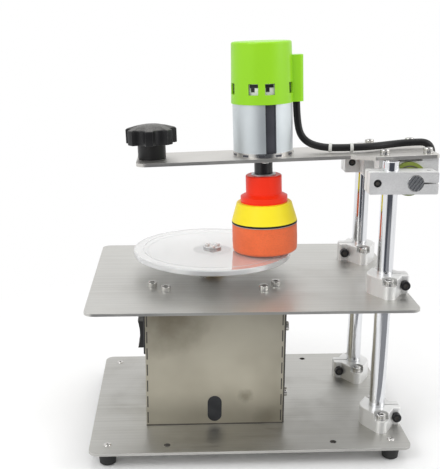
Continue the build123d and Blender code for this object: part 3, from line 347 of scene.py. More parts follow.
@dataclass(frozen=True)
class Finish:
    """A hard finish: one body colour with its grain, rubbed edges, blotches, dust and a painted sheen
    on faces that look up.
    """

    name: str
    colour: Colour
    roughness: float
    metallic: float = 0.0
    second: Colour | None = None  # colour of the blotches
    second_share: float = 0.12
    second_scale: float = 28.0  # blotches per metre
    # On the supports the edges' colour is also a painted highlight.
    edge: Colour | None = None  # colour of rubbed edges
    edge_share: float = 0.35
    edge_reach: float = 0.5 * MM
    grain: Point | None = None  # cells per metre along X, Y and Z
    grain_spread: float = 0.10  # roughness that the grain adds or takes
    grain_depth: float = 0.012 * MM
    smudge: float = 0.10  # roughness that smudges add
    smudge_scale: float = 24.0
    pits: float = 0.0  # depth of fine grit
    pits_scale: float = 1800.0
    # share of the light veil on up-facing faces: settled dust, and on the knob a painted sheen
    dust_and_sheen: float = 0.0
    stains: tuple[tuple[Point, float, float], ...] = ()  # place and reach in metres, and share
    coat: float = 0.0
    coat_rough: float = 0.12
    specular: float = 0.5

    def base(self, wires: Wiring) -> NodeSocket:
        """The body colour before wear."""
        blotch = wires.spread(wires.cloud(self.second_scale, 3.0), 0.0, 1.0, 0.35, 0.65)
        second = self.second or tuple(c * SECOND_SHADE for c in self.colour)
        share = wires.sum_up("MULTIPLY", blotch, self.second_share)
        colour = wires.tint(share, self.colour, second)
        for at, reach, most in self.stains:
            away = wires.measure("DISTANCE", wires.place, at)
            ragged = wires.sum_up("MULTIPLY_ADD", wires.cloud(1.2 / reach, 4.0, 0.6), reach, away)
            share = wires.spread(ragged, most, 0.0, reach * 0.8, reach * 1.6)
            colour = wires.tint(share, colour, second)
        return colour

    def material(self) -> Material:
        """The finish's material, built when it is first used."""
        made = bpy.data.materials.get(self.name)
        if made:
            return made
        made = bpy.data.materials.new(self.name)
        wires = emptied(made)
        wires.place = wires.out("ShaderNodeTexCoord", output="Object")
        shader = wires.add("ShaderNodeBsdfPrincipled", {
            "Metallic": self.metallic, "Specular IOR Level": self.specular,
            "Coat Weight": self.coat, "Coat Roughness": self.coat_rough,
        })
        self.wire(wires, shader)
        wires.add("ShaderNodeOutputMaterial", {"Surface": shader.outputs[0]})
        return made

    def wire(self, wires: Wiring, shader: Node) -> None:
        """Feed colour, roughness and bump into the shader.

        Args:
            wires: The material's wiring.
            shader: The Principled BSDF.
        """
        colour = self.base(wires)
        smudge = Effect.smudges(wires, self.smudge_scale)
        rough = wires.sum_up("MULTIPLY_ADD", smudge, self.smudge, self.roughness)
        normal = None
        if self.grain:
            grain = Effect.grain(wires, self.grain).outputs
            spread = self.grain_spread
            rough = wires.sum_up("ADD", rough,
                                 wires.spread(grain["Coarse"], -spread, spread, 0.3, 0.7))
            shade = wires.spread(grain["Fine"], 0.90, 1.06, 0.3, 0.7)
            colour = wires.tint(1.0, colour, shade, "MULTIPLY")
            normal = wires.bump(grain["Fine"], self.grain_depth)
        if self.pits:
            normal = wires.bump(wires.cloud(self.pits_scale, 3.0, 0.6), self.pits, below=normal)
        if self.edge:
            rub = Effect.edge_rub(wires, self.edge_reach)
            colour = wires.tint(wires.sum_up("MULTIPLY", rub, self.edge_share), colour, self.edge)
        # Up-facing faces are lightened: settled dust, and on the knob a painted sheen on its top.
        if self.dust_and_sheen:
            dust_and_sheen_share = wires.sum_up("MULTIPLY", Effect.dust_and_sheen(wires), self.dust_and_sheen)
            colour = wires.tint(dust_and_sheen_share, colour, DUST_AND_SHEEN_COLOUR)
        wires.feed(shader, {"Base Color": colour, "Roughness": rough})
        if normal:
            wires.feed(shader, {"Normal": normal})


@dataclass(frozen=True)
class Foam(Finish):
    """Open-pored foam rubber."""

    pore_scale: float = 1500.0

    def wire(self, wires: Wiring, shader: Node) -> None:
        """Pores dent the surface, and painted shade darkens them where they dent in."""
        cells = wires.cells(self.pore_scale)
        pore_shade = wires.spread(cells, 0.72, 1.04, 0.08, 0.42)
        wires.feed(shader, {
            "Base Color": wires.tint(1.0, self.base(wires), pore_shade, "MULTIPLY"),
            "Normal": wires.bump(wires.spread(cells, 0.0, 1.0, 0.0, 0.5), self.pits, 0.8),
            "Roughness": self.roughness, "Sheen Weight": 0.25, "Sheen Roughness": 0.5,
            "Subsurface Weight": 0.08, "Subsurface Scale": 2.0 * MM,
        })


@dataclass(frozen=True)
class Textile(Finish):
    """The hooks or loops between the cone and the pad."""

    tuft_scale: float = 2200.0
    tuft_depth: float = 0.12 * MM

    def wire(self, wires: Wiring, shader: Node) -> None:
        """Small round tufts, painted lighter on their tops and darker between them: painted light and
        shade.
        """
        tuft_height_and_shade = wires.spread(wires.cells(self.tuft_scale), 1.1, 0.55, 0.1, 0.5)
        wires.feed(shader, {
            "Base Color": wires.tint(1.0, self.base(wires), tuft_height_and_shade, "MULTIPLY"),
            "Normal": wires.bump(tuft_height_and_shade, self.tuft_depth), "Roughness": self.roughness,
        })


@dataclass(frozen=True)
class Acrylic(Finish):
    """Clear acrylic gone milky, saw-matt round its edge."""

    rim: float = 60.5 * MM  # radius where the matt edge starts
    rim_rough: float = 0.30
    axis: Point = (0.0, 0.0, 0.0)
    marks: float = 420.0  # turning marks per metre of radius
    mark_depth: float = 0.03 * MM
    clearness: float = 0.57
    ior: float = 1.49
    coat_ior: float = 2.6

    def wire(self, wires: Wiring, shader: Node) -> None:
        """Rough rim, faint turning marks and smudges."""
        inputs = {"Vector": wires.place, "Location": [-c for c in self.axis]}
        moved = wires.out("ShaderNodeMapping", inputs)
        flat = wires.out("ShaderNodeVectorMath", {0: moved, 1: (1.0, 1.0, 0.0)},
                         operation="MULTIPLY")
        radius = wires.measure("LENGTH", flat)
        rim = wires.spread(radius, 0.0, 1.0, self.rim, self.rim + 0.6 * MM)
        wipe = wires.spread(Effect.smudges(wires, 18.0), 0.0, 0.10)
        rough = wires.sum_up("MULTIPLY_ADD", rim, self.rim_rough, self.roughness)
        rings = wires.out("ShaderNodeCombineXYZ",
                          {0: wires.sum_up("MULTIPLY", radius, self.marks)})
        normal = wires.bump(wires.cloud(1.0, place=rings), self.mark_depth)
        wires.feed(shader, {
            "Base Color": (*self.colour, 1.0), "Roughness": wires.sum_up("ADD", rough, wipe),
            "Normal": normal, "Coat Normal": normal, "Transmission Weight": self.clearness,
            "IOR": self.ior, "Coat IOR": self.coat_ior,
        })


class Look:
    """The machine's finishes, named for what they cover."""

    PLATE = Finish("brushed steel plate", (0.60, 0.595, 0.57), 0.42, 1.0, (0.46, 0.45, 0.43), 0.35,
        9.0, (0.82, 0.82, 0.80), 0.6, 0.4 * MM, STEEL_GRAIN, 0.13, 0.006 * MM, 0.12)
    BASE = replace(PLATE, name="brushed steel base", colour=(0.56, 0.555, 0.53),
        second=(0.42, 0.41, 0.39), second_share=0.4, second_scale=8.0, smudge=0.14)
    ARM = replace(PLATE, name="brushed steel arm", colour=(0.63, 0.615, 0.59),
        second=(0.46, 0.44, 0.41), second_scale=12.0, edge=(0.88, 0.87, 0.85), grain_spread=0.05,
        smudge=0.10)
    BOX = Finish("handled steel box", (0.60, 0.565, 0.462), 0.43, 1.0, (0.26, 0.23, 0.17), 0.45,
        15.0, (0.78, 0.76, 0.72), 0.5, 0.35 * MM, smudge=0.20, smudge_scale=15.0, pits=0.004 * MM,
        pits_scale=1400.0, stains=BOX_STAINS)
    CHROME = Finish("chromed rod", (0.77, 0.78, 0.80), 0.10, 1.0, (0.70, 0.71, 0.74), 0.2, 20.0,
        grain=(2400.0, 2400.0, 60.0), grain_spread=0.02, grain_depth=0.002 * MM, smudge=0.05)
    # The supports' light edge colour is partly rubbed wear and partly a painted highlight along their
    # edges.
    CAST = Finish("satin aluminium support", (0.82, 0.82, 0.81), 0.36, 0.55, (0.74, 0.74, 0.73),
        0.3, 60.0, grey(0.95), 0.6, pits=0.010 * MM, pits_scale=2600.0)
    BLOCK = Finish("sanded aluminium block", grey(0.84), 0.46, 0.6, (0.77, 0.77, 0.76), 0.3, 40.0,
        grey(0.94), 0.6, 0.4 * MM, (900.0, 2400.0, 2400.0), 0.04, pits=0.008 * MM)
    SLEEVE = Finish("zinc sleeve", (0.70, 0.745, 0.765), 0.50, 1.0, (0.63, 0.67, 0.69), 0.4, 30.0,
        (0.88, 0.90, 0.91), 0.6, 0.4 * MM, pits=0.006 * MM, pits_scale=1500.0)
    CAN = Finish("dark motor can", (0.085, 0.085, 0.10), 0.40, 0.6, (0.05, 0.05, 0.06), 0.5, 60.0,
        (0.45, 0.46, 0.48), 0.7, pits=0.01 * MM)
    CAP = Finish("lime cap", (0.305, 0.675, 0.014), 0.32, 0.0, (0.28, 0.64, 0.012), 0.5, 25.0,
        (0.44, 0.84, 0.05), 0.5, 0.6 * MM, pits=0.006 * MM, pits_scale=1100.0, smudge=0.08,
        specular=0.35)
    BELL = Finish("white motor end", (0.93, 0.93, 0.92), 0.45, 0.0, (0.60, 0.60, 0.58), 0.3, 90.0,
        grey(0.9), 0.4, 0.4 * MM, pits=0.01 * MM)
    HUB = Finish("red hub", (0.95, 0.032, 0.006), 0.34, 0.0, (0.86, 0.027, 0.005), 0.4, 40.0,
        (0.99, 0.10, 0.03), 0.4, pits=0.006 * MM, specular=0.25)
    CONE = Finish("yellow cone", (1.0, 0.83, 0.022), 0.40, 0.0, (0.95, 0.76, 0.018), 0.5, 35.0,
        (1.0, 0.90, 0.10), 0.4, pits=0.008 * MM, specular=0.25)
    # The knob's light up-facing veil is a painted sheen: its top is painted lighter grey, as light
    # from above would show it.
    KNOB = Finish("matt black knob", (0.009, 0.009, 0.010), 0.40, 0.0, (0.022, 0.022, 0.023), 0.5,
        60.0, (0.12, 0.12, 0.122), 0.5, pits=0.010 * MM, pits_scale=2100.0, dust_and_sheen=0.30,
        specular=0.28)
    PLASTIC = Finish("black switch plastic", (0.014, 0.014, 0.015), 0.30, 0.0,
        (0.020, 0.020, 0.021), 0.5, 70.0, grey(0.05), 0.5, pits=0.008 * MM)
    RUBBER = Finish("black rubber", grey(0.018), 0.62, 0.0, (0.030, 0.029, 0.028), 0.5, 80.0,
        (0.07, 0.068, 0.066), 0.4, 0.8 * MM, pits=0.02 * MM, dust_and_sheen=0.10)
    BLANK = Finish("slot rubber", (0.014, 0.015, 0.018), 0.5, 0.0, (0.045, 0.046, 0.050), 0.5,
        120.0, grey(0.10), 0.4, pits=0.02 * MM)
    # Dark joints, and the colour of painted shade: socket bottoms, bench hole walls and the strips at
    # the box's right edge and foot.
    JOINT_AND_SHADE = Finish("dark joint and painted shade", (0.05, 0.046, 0.04), 0.6, 0.0, (0.10, 0.09, 0.08), 0.6, 160.0)
    STEEL_SCREW = Finish("stainless screw", (0.62, 0.61, 0.59), 0.16, 1.0, (0.52, 0.51, 0.49), 0.4,
        300.0, (0.92, 0.91, 0.90), 0.7, 0.25 * MM, pits=0.004 * MM)
    DARK_SCREW = Finish("blackened screw", (0.030, 0.030, 0.032), 0.34, 0.7, grey(0.05), 0.4, 300.0,
        (0.28, 0.28, 0.29), 0.6, 0.3 * MM, pits=0.006 * MM)
    HUB_SCREW = Finish("frosted hub screw", (0.86, 0.86, 0.85), 0.42, 0.1, (0.78, 0.78, 0.77), 0.3,
        200.0, (0.95, 0.95, 0.94), 0.5, 0.25 * MM, pits=0.006 * MM, specular=0.3)
    BUSH = Finish("olive bush", (0.19, 0.24, 0.03), 0.40, 0.0, (0.15, 0.20, 0.022), 0.5, 90.0,
        (0.32, 0.38, 0.10), 0.5, pits=0.01 * MM)
    BRASS = Finish("sintered bronze", (0.60, 0.42, 0.20), 0.38, 1.0, (0.48, 0.33, 0.15), 0.4, 200.0,
        (0.85, 0.65, 0.36), 0.5, 0.4 * MM, pits=0.02 * MM)
    SHAFT = Finish("ground steel shaft", grey(0.58), 0.22, 1.0, grey(0.50), 0.3, 80.0, grey(0.85),
        0.6, 0.3 * MM, grey(2400.0), 0.04)
    COUPLING = Finish("black coupling", (0.020, 0.020, 0.022), 0.30, 0.3, (0.032, 0.032, 0.034),
        0.5, 60.0, (0.16, 0.16, 0.17), 0.6, 0.4 * MM, pits=0.006 * MM)
    GEARBOX = Finish("zinc gearbox", (0.50, 0.51, 0.52), 0.38, 1.0, (0.42, 0.43, 0.44), 0.4, 70.0,
        (0.78, 0.78, 0.79), 0.6, pits=0.02 * MM)
    BOARD = Finish("speed board", (0.020, 0.115, 0.045), 0.35, 0.0, (0.014, 0.075, 0.030), 0.6,
        260.0, (0.45, 0.40, 0.24), 0.5, 0.3 * MM, pits=0.03 * MM, pits_scale=900.0, coat=0.3)
    CABLE = Finish("cable sheath", (0.008, 0.008, 0.009), 0.42, 0.0, grey(0.014), 0.5, 120.0,
        pits=0.012 * MM, pits_scale=2600.0, dust_and_sheen=0.02, specular=0.3)
    TIE = Finish("pale tie", (0.62, 0.62, 0.60), 0.42, 0.0, (0.54, 0.54, 0.52), 0.4, 300.0,
        (0.80, 0.80, 0.78), 0.4, 0.2 * MM, pits=0.01 * MM)
    FOAM = Foam("orange foam", (0.88, 0.165, 0.050), 0.92, 0.0, (0.78, 0.14, 0.042), 0.6, 90.0,
        pits=0.10 * MM)
    HOOKS = Textile("black hooks", grey(0.012), 0.8)
    LOOPS = Textile("pale loops", (0.74, 0.72, 0.70), 0.9)
    DISC = Acrylic("clear turntable", (0.98, 0.985, 0.985), 0.05, coat=1.0, coat_rough=0.03,
        axis=tuple(SPINDLE_AT))


def dress(finish: Finish, *nodes: str) -> None:
    """Give CAD nodes a finish."""
    for name in nodes:
        node = frame["nodes"][name]
        node.data.materials.clear()
        node.data.materials.append(finish.material())
        LOG.info("%s: %s", name, finish.name)


# ---------------------------------------------------------------- meshes
def linked(name: str, data: bpy.types.ID) -> Object:
    """A new object in the scene."""
    made = bpy.data.objects.new(name, data)
    bpy.context.scene.collection.objects.link(made)
    return made


def meshed(carrier: Object) -> Mesh:
    """The mesh that a curve or a modified object comes to. The object is removed."""
    bpy.context.view_layer.update()
    graph = bpy.context.evaluated_depsgraph_get()
    data = bpy.data.meshes.new_from_object(carrier.evaluated_get(graph))
    bpy.data.objects.remove(carrier)
    return data


def mesh_object(name: str, data: Mesh, finish: Finish, sharp: float = 35.0) -> Object:
    """Put a mesh into the scene, smooth but for its sharp edges."""
    data.materials.clear()
    data.materials.append(finish.material())
    data.shade_smooth()
    data.set_sharp_from_angle(angle=radians(sharp))
    return linked(name, data)


def circle(radius: float, z: float, sides: int,
           wave: Callable[[float], float] | None = None) -> Ring:
    """A ring about Z.

    Args:
        radius: In millimetres.
        z: Its height in millimetres.
        sides: How many points it has.
        wave: Multiplies the radius at an angle in radians.

    Returns:
        Its points in metres, anticlockwise seen from above.
    """
    ring = []
    for step in range(sides):
        angle = tau * step / sides
        reach = radius * (wave(angle) if wave else 1.0) * MM
        ring.append(Vector((reach * cos(angle), reach * sin(angle), z * MM)))
    return ring


class Shape:
    """A mesh in the making, in its own place."""

    def __init__(self, place: Matrix = FLAT) -> None:
        """Start an empty mesh whose coordinates are turned into that place at the end."""
        self.mesh = bmesh.new()
        self.place = place

    def stack(self, rings: Sequence[Ring], closed: bool = False) -> "Shape":
        """Skin a row of rings.

        Args:
            rings: Rings with equally many points.
            closed: Join the last to the first, as for a tube's wall. Otherwise the ends are capped.

        Returns:
            The shape itself.
        """
        rows = [[self.mesh.verts.new(point) for point in ring] for ring in rings]
        for low, high in zip(rows, rows[1:] + (rows[:1] if closed else [])):
            for i in range(len(low)):
                j = (i + 1) % len(low)
                self.mesh.faces.new((low[i], low[j], high[j], high[i]))
        if not closed:
            self.mesh.faces.new(rows[0][::-1])
            self.mesh.faces.new(rows[-1])
        return self

    def lathe(self, profile: Sequence[Pair], sides: int = 96, closed: bool = False) -> "Shape":
        """Turn a profile of radii and heights in millimetres about Z."""
        return self.stack([circle(r, z, sides) for r, z in profile], closed)

    def slab(self, low: Point, high: Point, rounding: float = 0.0, turn: Matrix = FLAT) -> "Shape":
        """A block between two corners in millimetres, its edges rounded, then turned."""
        low, high = Vector(low) * MM, Vector(high) * MM
        place = turn @ Matrix.Translation((low + high) / 2) @ Matrix.Diagonal((*(high - low), 1.0))
        grown = bmesh.ops.create_cube(self.mesh, size=1.0, matrix=place)
        if rounding:
            edges = {edge for vert in grown["verts"] for edge in vert.link_edges}
            bmesh.ops.bevel(self.mesh, geom=list(edges), offset=rounding * MM, segments=2,
                            affect="EDGES")
        return self

    def object(self, name: str, finish: Finish, sharp: float = 35.0) -> Object:
        """Close the mesh and make it an object at the origin.

        Args:
            name: The object's name.
            finish: Its finish.
            sharp: Edges over this angle in degrees stay sharp.

        Returns:
            The object.
        """
        self.mesh.transform(self.place)
        bmesh.ops.remove_doubles(self.mesh, verts=self.mesh.verts, dist=1e-7)
        bmesh.ops.recalc_face_normals(self.mesh, faces=self.mesh.faces)
        data = bpy.data.meshes.new(name)
        self.mesh.to_mesh(data)
        self.mesh.free()
        return mesh_object(name, data, finish, sharp)


def settle(piece: Object, body: str, *nodes: str) -> Object:
    """Let a piece ride on a body in the place of CAD nodes."""
    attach(piece, body)
    if nodes:
        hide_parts(*nodes)
    LOG.info("%s rides on %s, for %s", piece.name, body, ", ".join(nodes) or "nothing")
    return piece


# ---------------------------------------------------------------- repeated parts
class GeometryTree:
    """Builds a Geometry Nodes tree and bakes what it makes into a plain mesh."""

    def __init__(self, name: str, sockets: dict[str, str]) -> None:
        """Start a tree.

        Args:
            name: The tree's name.
            sockets: Its inputs besides the geometry and the finish, each with its kind.
        """
        self.tree = bpy.data.node_groups.new(name, "GeometryNodeTree")
        kinds = {"Geometry": "Geometry", **sockets, "Finish": "Material"}
        self.sockets = {
            label: self.tree.interface.new_socket(label, in_out="INPUT",
                                                  socket_type=f"NodeSocket{kind}")
            for label, kind in kinds.items()
        }
        self.tree.interface.new_socket("Geometry", in_out="OUTPUT",
                                       socket_type="NodeSocketGeometry")
        self.wires = Wiring(self.tree)
        self.given = self.wires.add("NodeGroupInput").outputs

    def close(self, geometry: NodeSocket) -> None:
        """End the tree in Realize Instances and Set Material."""
        real = self.wires.out("GeometryNodeRealizeInstances", {0: geometry})
        inputs = {"Geometry": real, "Material": self.given["Finish"]}
        self.wires.add("NodeGroupOutput", {0: self.wires.out("GeometryNodeSetMaterial", inputs)})

    def bake(self, name: str, seed_mesh: Mesh, values: dict[str, object], finish: Finish,
             sharp: float = 35.0) -> Object:
        """Run the tree on a mesh.

        Args:
            name: The new object's name.
            seed_mesh: The points or edges that the tree starts from.
            values: The inputs' values by label.
            finish: The finish of what it makes.
            sharp: Edges over this angle in degrees stay sharp.

        Returns:
            A plain mesh object.
        """
        carrier = linked(f"{name}_carrier", seed_mesh)
        modifier = carrier.modifiers.new("tree", "NODES")
        modifier.node_group = self.tree
        for label, value in {**values, "Finish": finish.material()}.items():
            modifier[self.sockets[label].identifier] = value
        return mesh_object(name, meshed(carrier), finish, sharp)


class Standing(GeometryTree):
    """Stands a copy of one part on every spot, along the spot's aim and turned to its side."""

    def __init__(self) -> None:
        """Lay the tree."""
        super().__init__("parts on spots", {"Part": "Object"})
        out = self.wires.out
        part = out("GeometryNodeObjectInfo", {"Object": self.given["Part"]}, "Geometry")
        aim, side = (out("GeometryNodeInputNamedAttribute", {"Name": label},
                         data_type="FLOAT_VECTOR") for label in ("aim", "side"))
        upright = out("FunctionNodeAlignRotationToVector", {"Vector": aim}, axis="Z")
        turned = out("FunctionNodeAlignRotationToVector", {"Rotation": upright, "Vector": side},
                     axis="X", pivot_axis="Z")
        self.close(out("GeometryNodeInstanceOnPoints", {
            "Points": self.given["Geometry"], "Instance": part, "Rotation": turned,
        }))

    def put(self, name: str, shape: Shape, spots: Sequence[Spot], finish: Finish) -> Object:
        """Stand a shape on spots.

        Args:
            name: The new object's name.
            shape: The part's shape, made about Z with its seat at the origin.
            spots: Where it stands.
            finish: The finish.

        Returns:
            One mesh with all the copies.
        """
        part = shape.object(f"{name}_pattern", finish)
        seed_mesh = bpy.data.meshes.new(name)
        seed_mesh.from_pydata([spot[0] for spot in spots], [], [])
        for label, column in (("aim", 1), ("side", 2)):
            attribute = seed_mesh.attributes.new(label, "FLOAT_VECTOR", "POINT")
            attribute.data.foreach_set("vector", [c for spot in spots for c in spot[column]])
        made = self.bake(name, seed_mesh, {"Part": part}, finish, 25.0)
        bpy.data.objects.remove(part)
        return made


class Sheath(GeometryTree):
    """Draws a round sheath along a line of points."""

    def __init__(self) -> None:
        """Lay the tree."""
        super().__init__("sheath on a line", {"Radius": "Float", "Sides": "Int"})
        out = self.wires.out
        line = out("GeometryNodeMeshToCurve", {0: self.given["Geometry"]})
        section = out("GeometryNodeCurvePrimitiveCircle", {
            "Resolution": self.given["Sides"], "Radius": self.given["Radius"],
        })
        inputs = {"Curve": line, "Profile Curve": section, "Fill Caps": True}
        self.close(out("GeometryNodeCurveToMesh", inputs))


class Head(Enum):
    """Shapes of a screw's head."""

    CAP = "knurled cylinder with a hexagon socket"
    LOW = "low dome with a hexagon socket"


def six_sided(angle: float) -> float:
    """How much further than its flats a hexagon reaches at an angle."""
    return 1.0 / cos((angle + pi / 6) % (pi / 3) - pi / 6)


@dataclass(frozen=True)
class Screw:
    """One kind of screw, in millimetres, its head standing on the seat at height zero."""

    head: Head
    head_r: float
    head_h: float
    shank_r: float
    shank_len: float
    socket: float  # across the flats
    sides: int = 48
    knurl: float = 0.05  # share of the radius that a groove takes

    def long(self, shank_len: float) -> "Screw":
        """The same screw with another shank."""
        return replace(self, shank_len=shank_len)

    def knurled(self, angle: float) -> float:
        """The head's radius at an angle, as a share: a groove at every other point."""
        return 1.0 - self.knurl if round(angle * self.sides / tau) % 2 else 1.0

    def rings(self) -> list[Ring]:
        """The screw from the tip of its shank to the bottom of its socket."""
        top, head, shank, flats = self.head_h, self.head_r, self.shank_r, self.socket / 2
        lead = min(0.5, self.shank_len / 4)
        bevel = min(0.35, top * 0.18)
        rows = [(shank - lead * 0.6, -self.shank_len), (shank, -self.shank_len + lead),
                (shank, 0.0)]
        if self.head is Head.CAP:
            rows += [(head - bevel * 0.6, 0.0), (head, bevel * 0.6),
                     (head, bevel * 1.4, self.knurled), (head, top - bevel * 2.2, self.knurled),
                     (head, top - bevel * 1.4), (head - bevel * 0.35, top - bevel * 0.35),
                     (head - bevel * 1.4, top)]
        else:
            rows += [(head, 0.0), (head, top * 0.3), (head * 0.92, top * 0.72),
                     (head * 0.74, top * 0.94), (head * 0.62, top)]
        rows += [(flats + 0.12, top, six_sided), (flats, top - 0.12, six_sided),
                 (flats, top * 0.42, six_sided), (flats * 0.4, top * 0.42 - 0.25 * bevel)]
        return [circle(r, z, self.sides, *wave) for r, z, *wave in rows]

    def shape(self) -> Shape:
        """The whole screw."""
        return Shape().stack(self.rings())

    def plug(self) -> Shape:
        """The shade and dirt that fill the lower part of the socket."""
        reach = (self.socket / 2 - 0.02) / cos(pi / 6)
        return Shape().stack([circle(reach, self.head_h * share, 6) for share in (0.40, 0.78)])


M4 = Screw(Head.CAP, 3.5, 4.0, 2.0, 12.0, 3.0)
M3 = Screw(Head.CAP, 2.75, 3.0, 1.5, 12.4, 2.5)
M3_LOW = Screw(Head.CAP, 2.75, 2.0, 1.5, 10.0, 2.0)
FOOT_SCREW = Screw(Head.LOW, 2.75, 0.8, 1.5, 8.0, 1.6)
HUB_CAP = Screw(Head.CAP, 1.9, 1.2, 1.0, 9.5, 1.5, 36)
FIRST_TURN, NEXT_TURN = 0.7, 2.3  # how a row's sockets are turned, in radians


def spots_on(place: Matrix, points: Sequence[Pair] = ((0, 0),)) -> list[Spot]:
    """Spots on a face. Their sides differ, as nobody lines sockets up.

    Args:
        place: The face, its Z pointing out of it.
        points: Places on it in millimetres.

    Returns:
        Each spot's place, aim and side.
    """
    turned = place.to_3x3()
    rows = []
    for count, (x, y) in enumerate(points):
        angle = FIRST_TURN + NEXT_TURN * count
        side = turned @ Vector((cos(angle), sin(angle), 0))
        rows.append((place @ Vector((x * MM, y * MM, 0)), turned @ UP, side))
    return rows


@dataclass
class Fasteners:
    """Every screw of the machine, in rows of like ones."""

    tree: Standing

    def row(self, node: str, body: str, screw: Screw, spots: Sequence[Spot],
            finish: Finish = Look.STEEL_SCREW, serves: bool = True, shade: bool = True) -> None:
        """Make one row.

        Args:
            node: The CAD node that it stands for.
            body: The body it rides on.
            screw: The kind.
            spots: Where the screws stand.
            finish: Their finish.
            serves: Whether the row hides the CAD node.
            shade: Whether the sockets are dark inside.
        """
        name = f"{node}_row" if serves else f"{node}_more"
        made = self.tree.put(name, screw.shape(), spots, finish)
        if shade:
            settle(self.tree.put(f"{name}_sockets", screw.plug(), spots, Look.JOINT_AND_SHADE), body)
        settle(made, body, *([node] if serves else []))


# ---------------------------------------------------------------- the machine's parts
@dataclass
class Plates:
    """Both steel plates with their feet and screws. Sizes in millimetres."""

    foot_x: float = 104.5
    foot_y: float = 74.5
    bench_x: float = 61.0
    bench_y: float = 76.5
    bench_r: float = 2.25

    def build(self, fasteners: Fasteners) -> None:
        """Dress the plates, put the feet's screws in and line the bench holes with dark walls:
        painted shade.
        """
        dress(Look.BASE, "base_plate")
        dress(Look.PLATE, "table_plate")
        dress(Look.RUBBER, "rubber_feet", "cable_grommets")
        low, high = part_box("base_plate")
        face = on_top("base_plate", middle("base_plate"))
        spots = spots_on(face, corners(self.foot_x, self.foot_y))
        fasteners.row("foot_screws", "frame", FOOT_SCREW, spots)
        deep = (low.z - high.z) / MM
        # Thin dark tubes inside the bench holes: painted shade, where the holes fall dark.
        outer, skin, inner = self.bench_r + 0.15, self.bench_r - 0.02, self.bench_r - 0.15
        hole_shade = Shape().lathe([(inner, deep), (skin, deep), (skin, 0.02), (outer, 0.02),
                              (outer, 0.05), (inner, 0.05)], 32, closed=True)
        spots = spots_on(face, corners(self.bench_x, self.bench_y))
        settle(fasteners.tree.put("bench_hole_walls", hole_shade, spots, Look.JOINT_AND_SHADE), "frame")


@dataclass
class DriveBox:
    """The steel box with its switch, slot, socket and board. Sizes in millimetres."""

    cover_screw_in: float = 7.5
    cover_screws_up: Pair = (22.6, 76.6)
    ring: float = 59.0
    ring_turn: float = 7.0  # degrees
    gearbox_ring: float = 15.3
    tab_len: float = 9.0
    tab_pitch: float = 13.0
    tab_count: int = 8
    tab_in: float = 1.25

    def tab_marks(self, tree: Standing) -> None:
        """The dark joints beside the tabs, up the corners of the front and back panels, and painted
        shade strips by the right cover and along the front panel's foot.
        """
        low, high = (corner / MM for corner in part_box("front_panel"))
        # Painted shade: a dark strip down the right cover's front edge, in the gap there, and a
        # painted contact shadow along the front panel's foot on the base plate.
        shade_strips = Shape().slab((high.x - 0.1, low.y + 0.1, low.z + 0.2),
                            (high.x + 1.3, low.y + 1.3, high.z - 0.2))
        shade_strips.slab((low.x, low.y - 0.25, low.z), (high.x, low.y + 0.5, low.z + 0.6))
        settle(shade_strips.object("cover_seam", Look.JOINT_AND_SHADE), "frame")
        half = self.tab_len / 2
        for panel, out in (("front_panel", -1), ("back_panel", 1)):
            low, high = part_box(panel)
            at = middle(panel)
            spots = []
            for n in range(self.tab_count):
                up = at.z + (n - (self.tab_count - 1) / 2) * self.tab_pitch * MM
                for side in (-1, 1):
                    across = at.x + side * ((high.x - low.x) / 2 - self.tab_in * MM)
                    face = Vector((across, low.y if out < 0 else high.y, up))
                    spots.append((face, BACK * out, RIGHT * -out))
            mark = Shape().slab((-0.45, -half, -0.3), (0.45, half, 0.04))
            settle(tree.put(f"{panel}_joints", mark, spots, Look.JOINT_AND_SHADE), "frame")

    def build(self, fasteners: Fasteners) -> None:
        """Dress the box and make its screws."""
        dress(Look.BOX, "front_panel", "back_panel", "left_panel", "right_cover")
        dress(Look.GEARBOX, "corner_posts", "gearmotor")
        dress(Look.BLANK, "slot_blank")
        dress(Look.PLASTIC, "switch_bezel", "switch_rocker", "power_socket")
        dress(Look.BOARD, "speed_board")
        self.tab_marks(fasteners.tree)
        low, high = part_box("right_cover")
        out = standing(Vector((high.x, low.y, low.z)), BACK, RIGHT)
        columns = (self.cover_screw_in, (high.y - low.y) / MM - self.cover_screw_in)
        cover = spots_on(out, [(y, up) for y in columns for up in self.cover_screws_up])
        posts = round_points(self.ring, [45 + 90 * n + side * self.ring_turn
                                         for n in range(4) for side in (-1, 1)])
        floor = Vector((SPINDLE_AT.x, SPINDLE_AT.y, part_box("base_plate")[0].z))
        below = spots_on(standing(floor, RIGHT, -UP), [(x, -y) for x, y in posts])
        top = on_top("table_plate", SPINDLE_AT)
        gearbox = round_points(self.gearbox_ring, [120 * n for n in range(3)])
        fasteners.row("box_screws", "frame", M4.long(4.7), cover + below)
        fasteners.row("table_screws", "frame", M4.long(5.5), spots_on(top, posts))
        fasteners.row("table_screws", "frame", M3_LOW, spots_on(top, gearbox), serves=False)


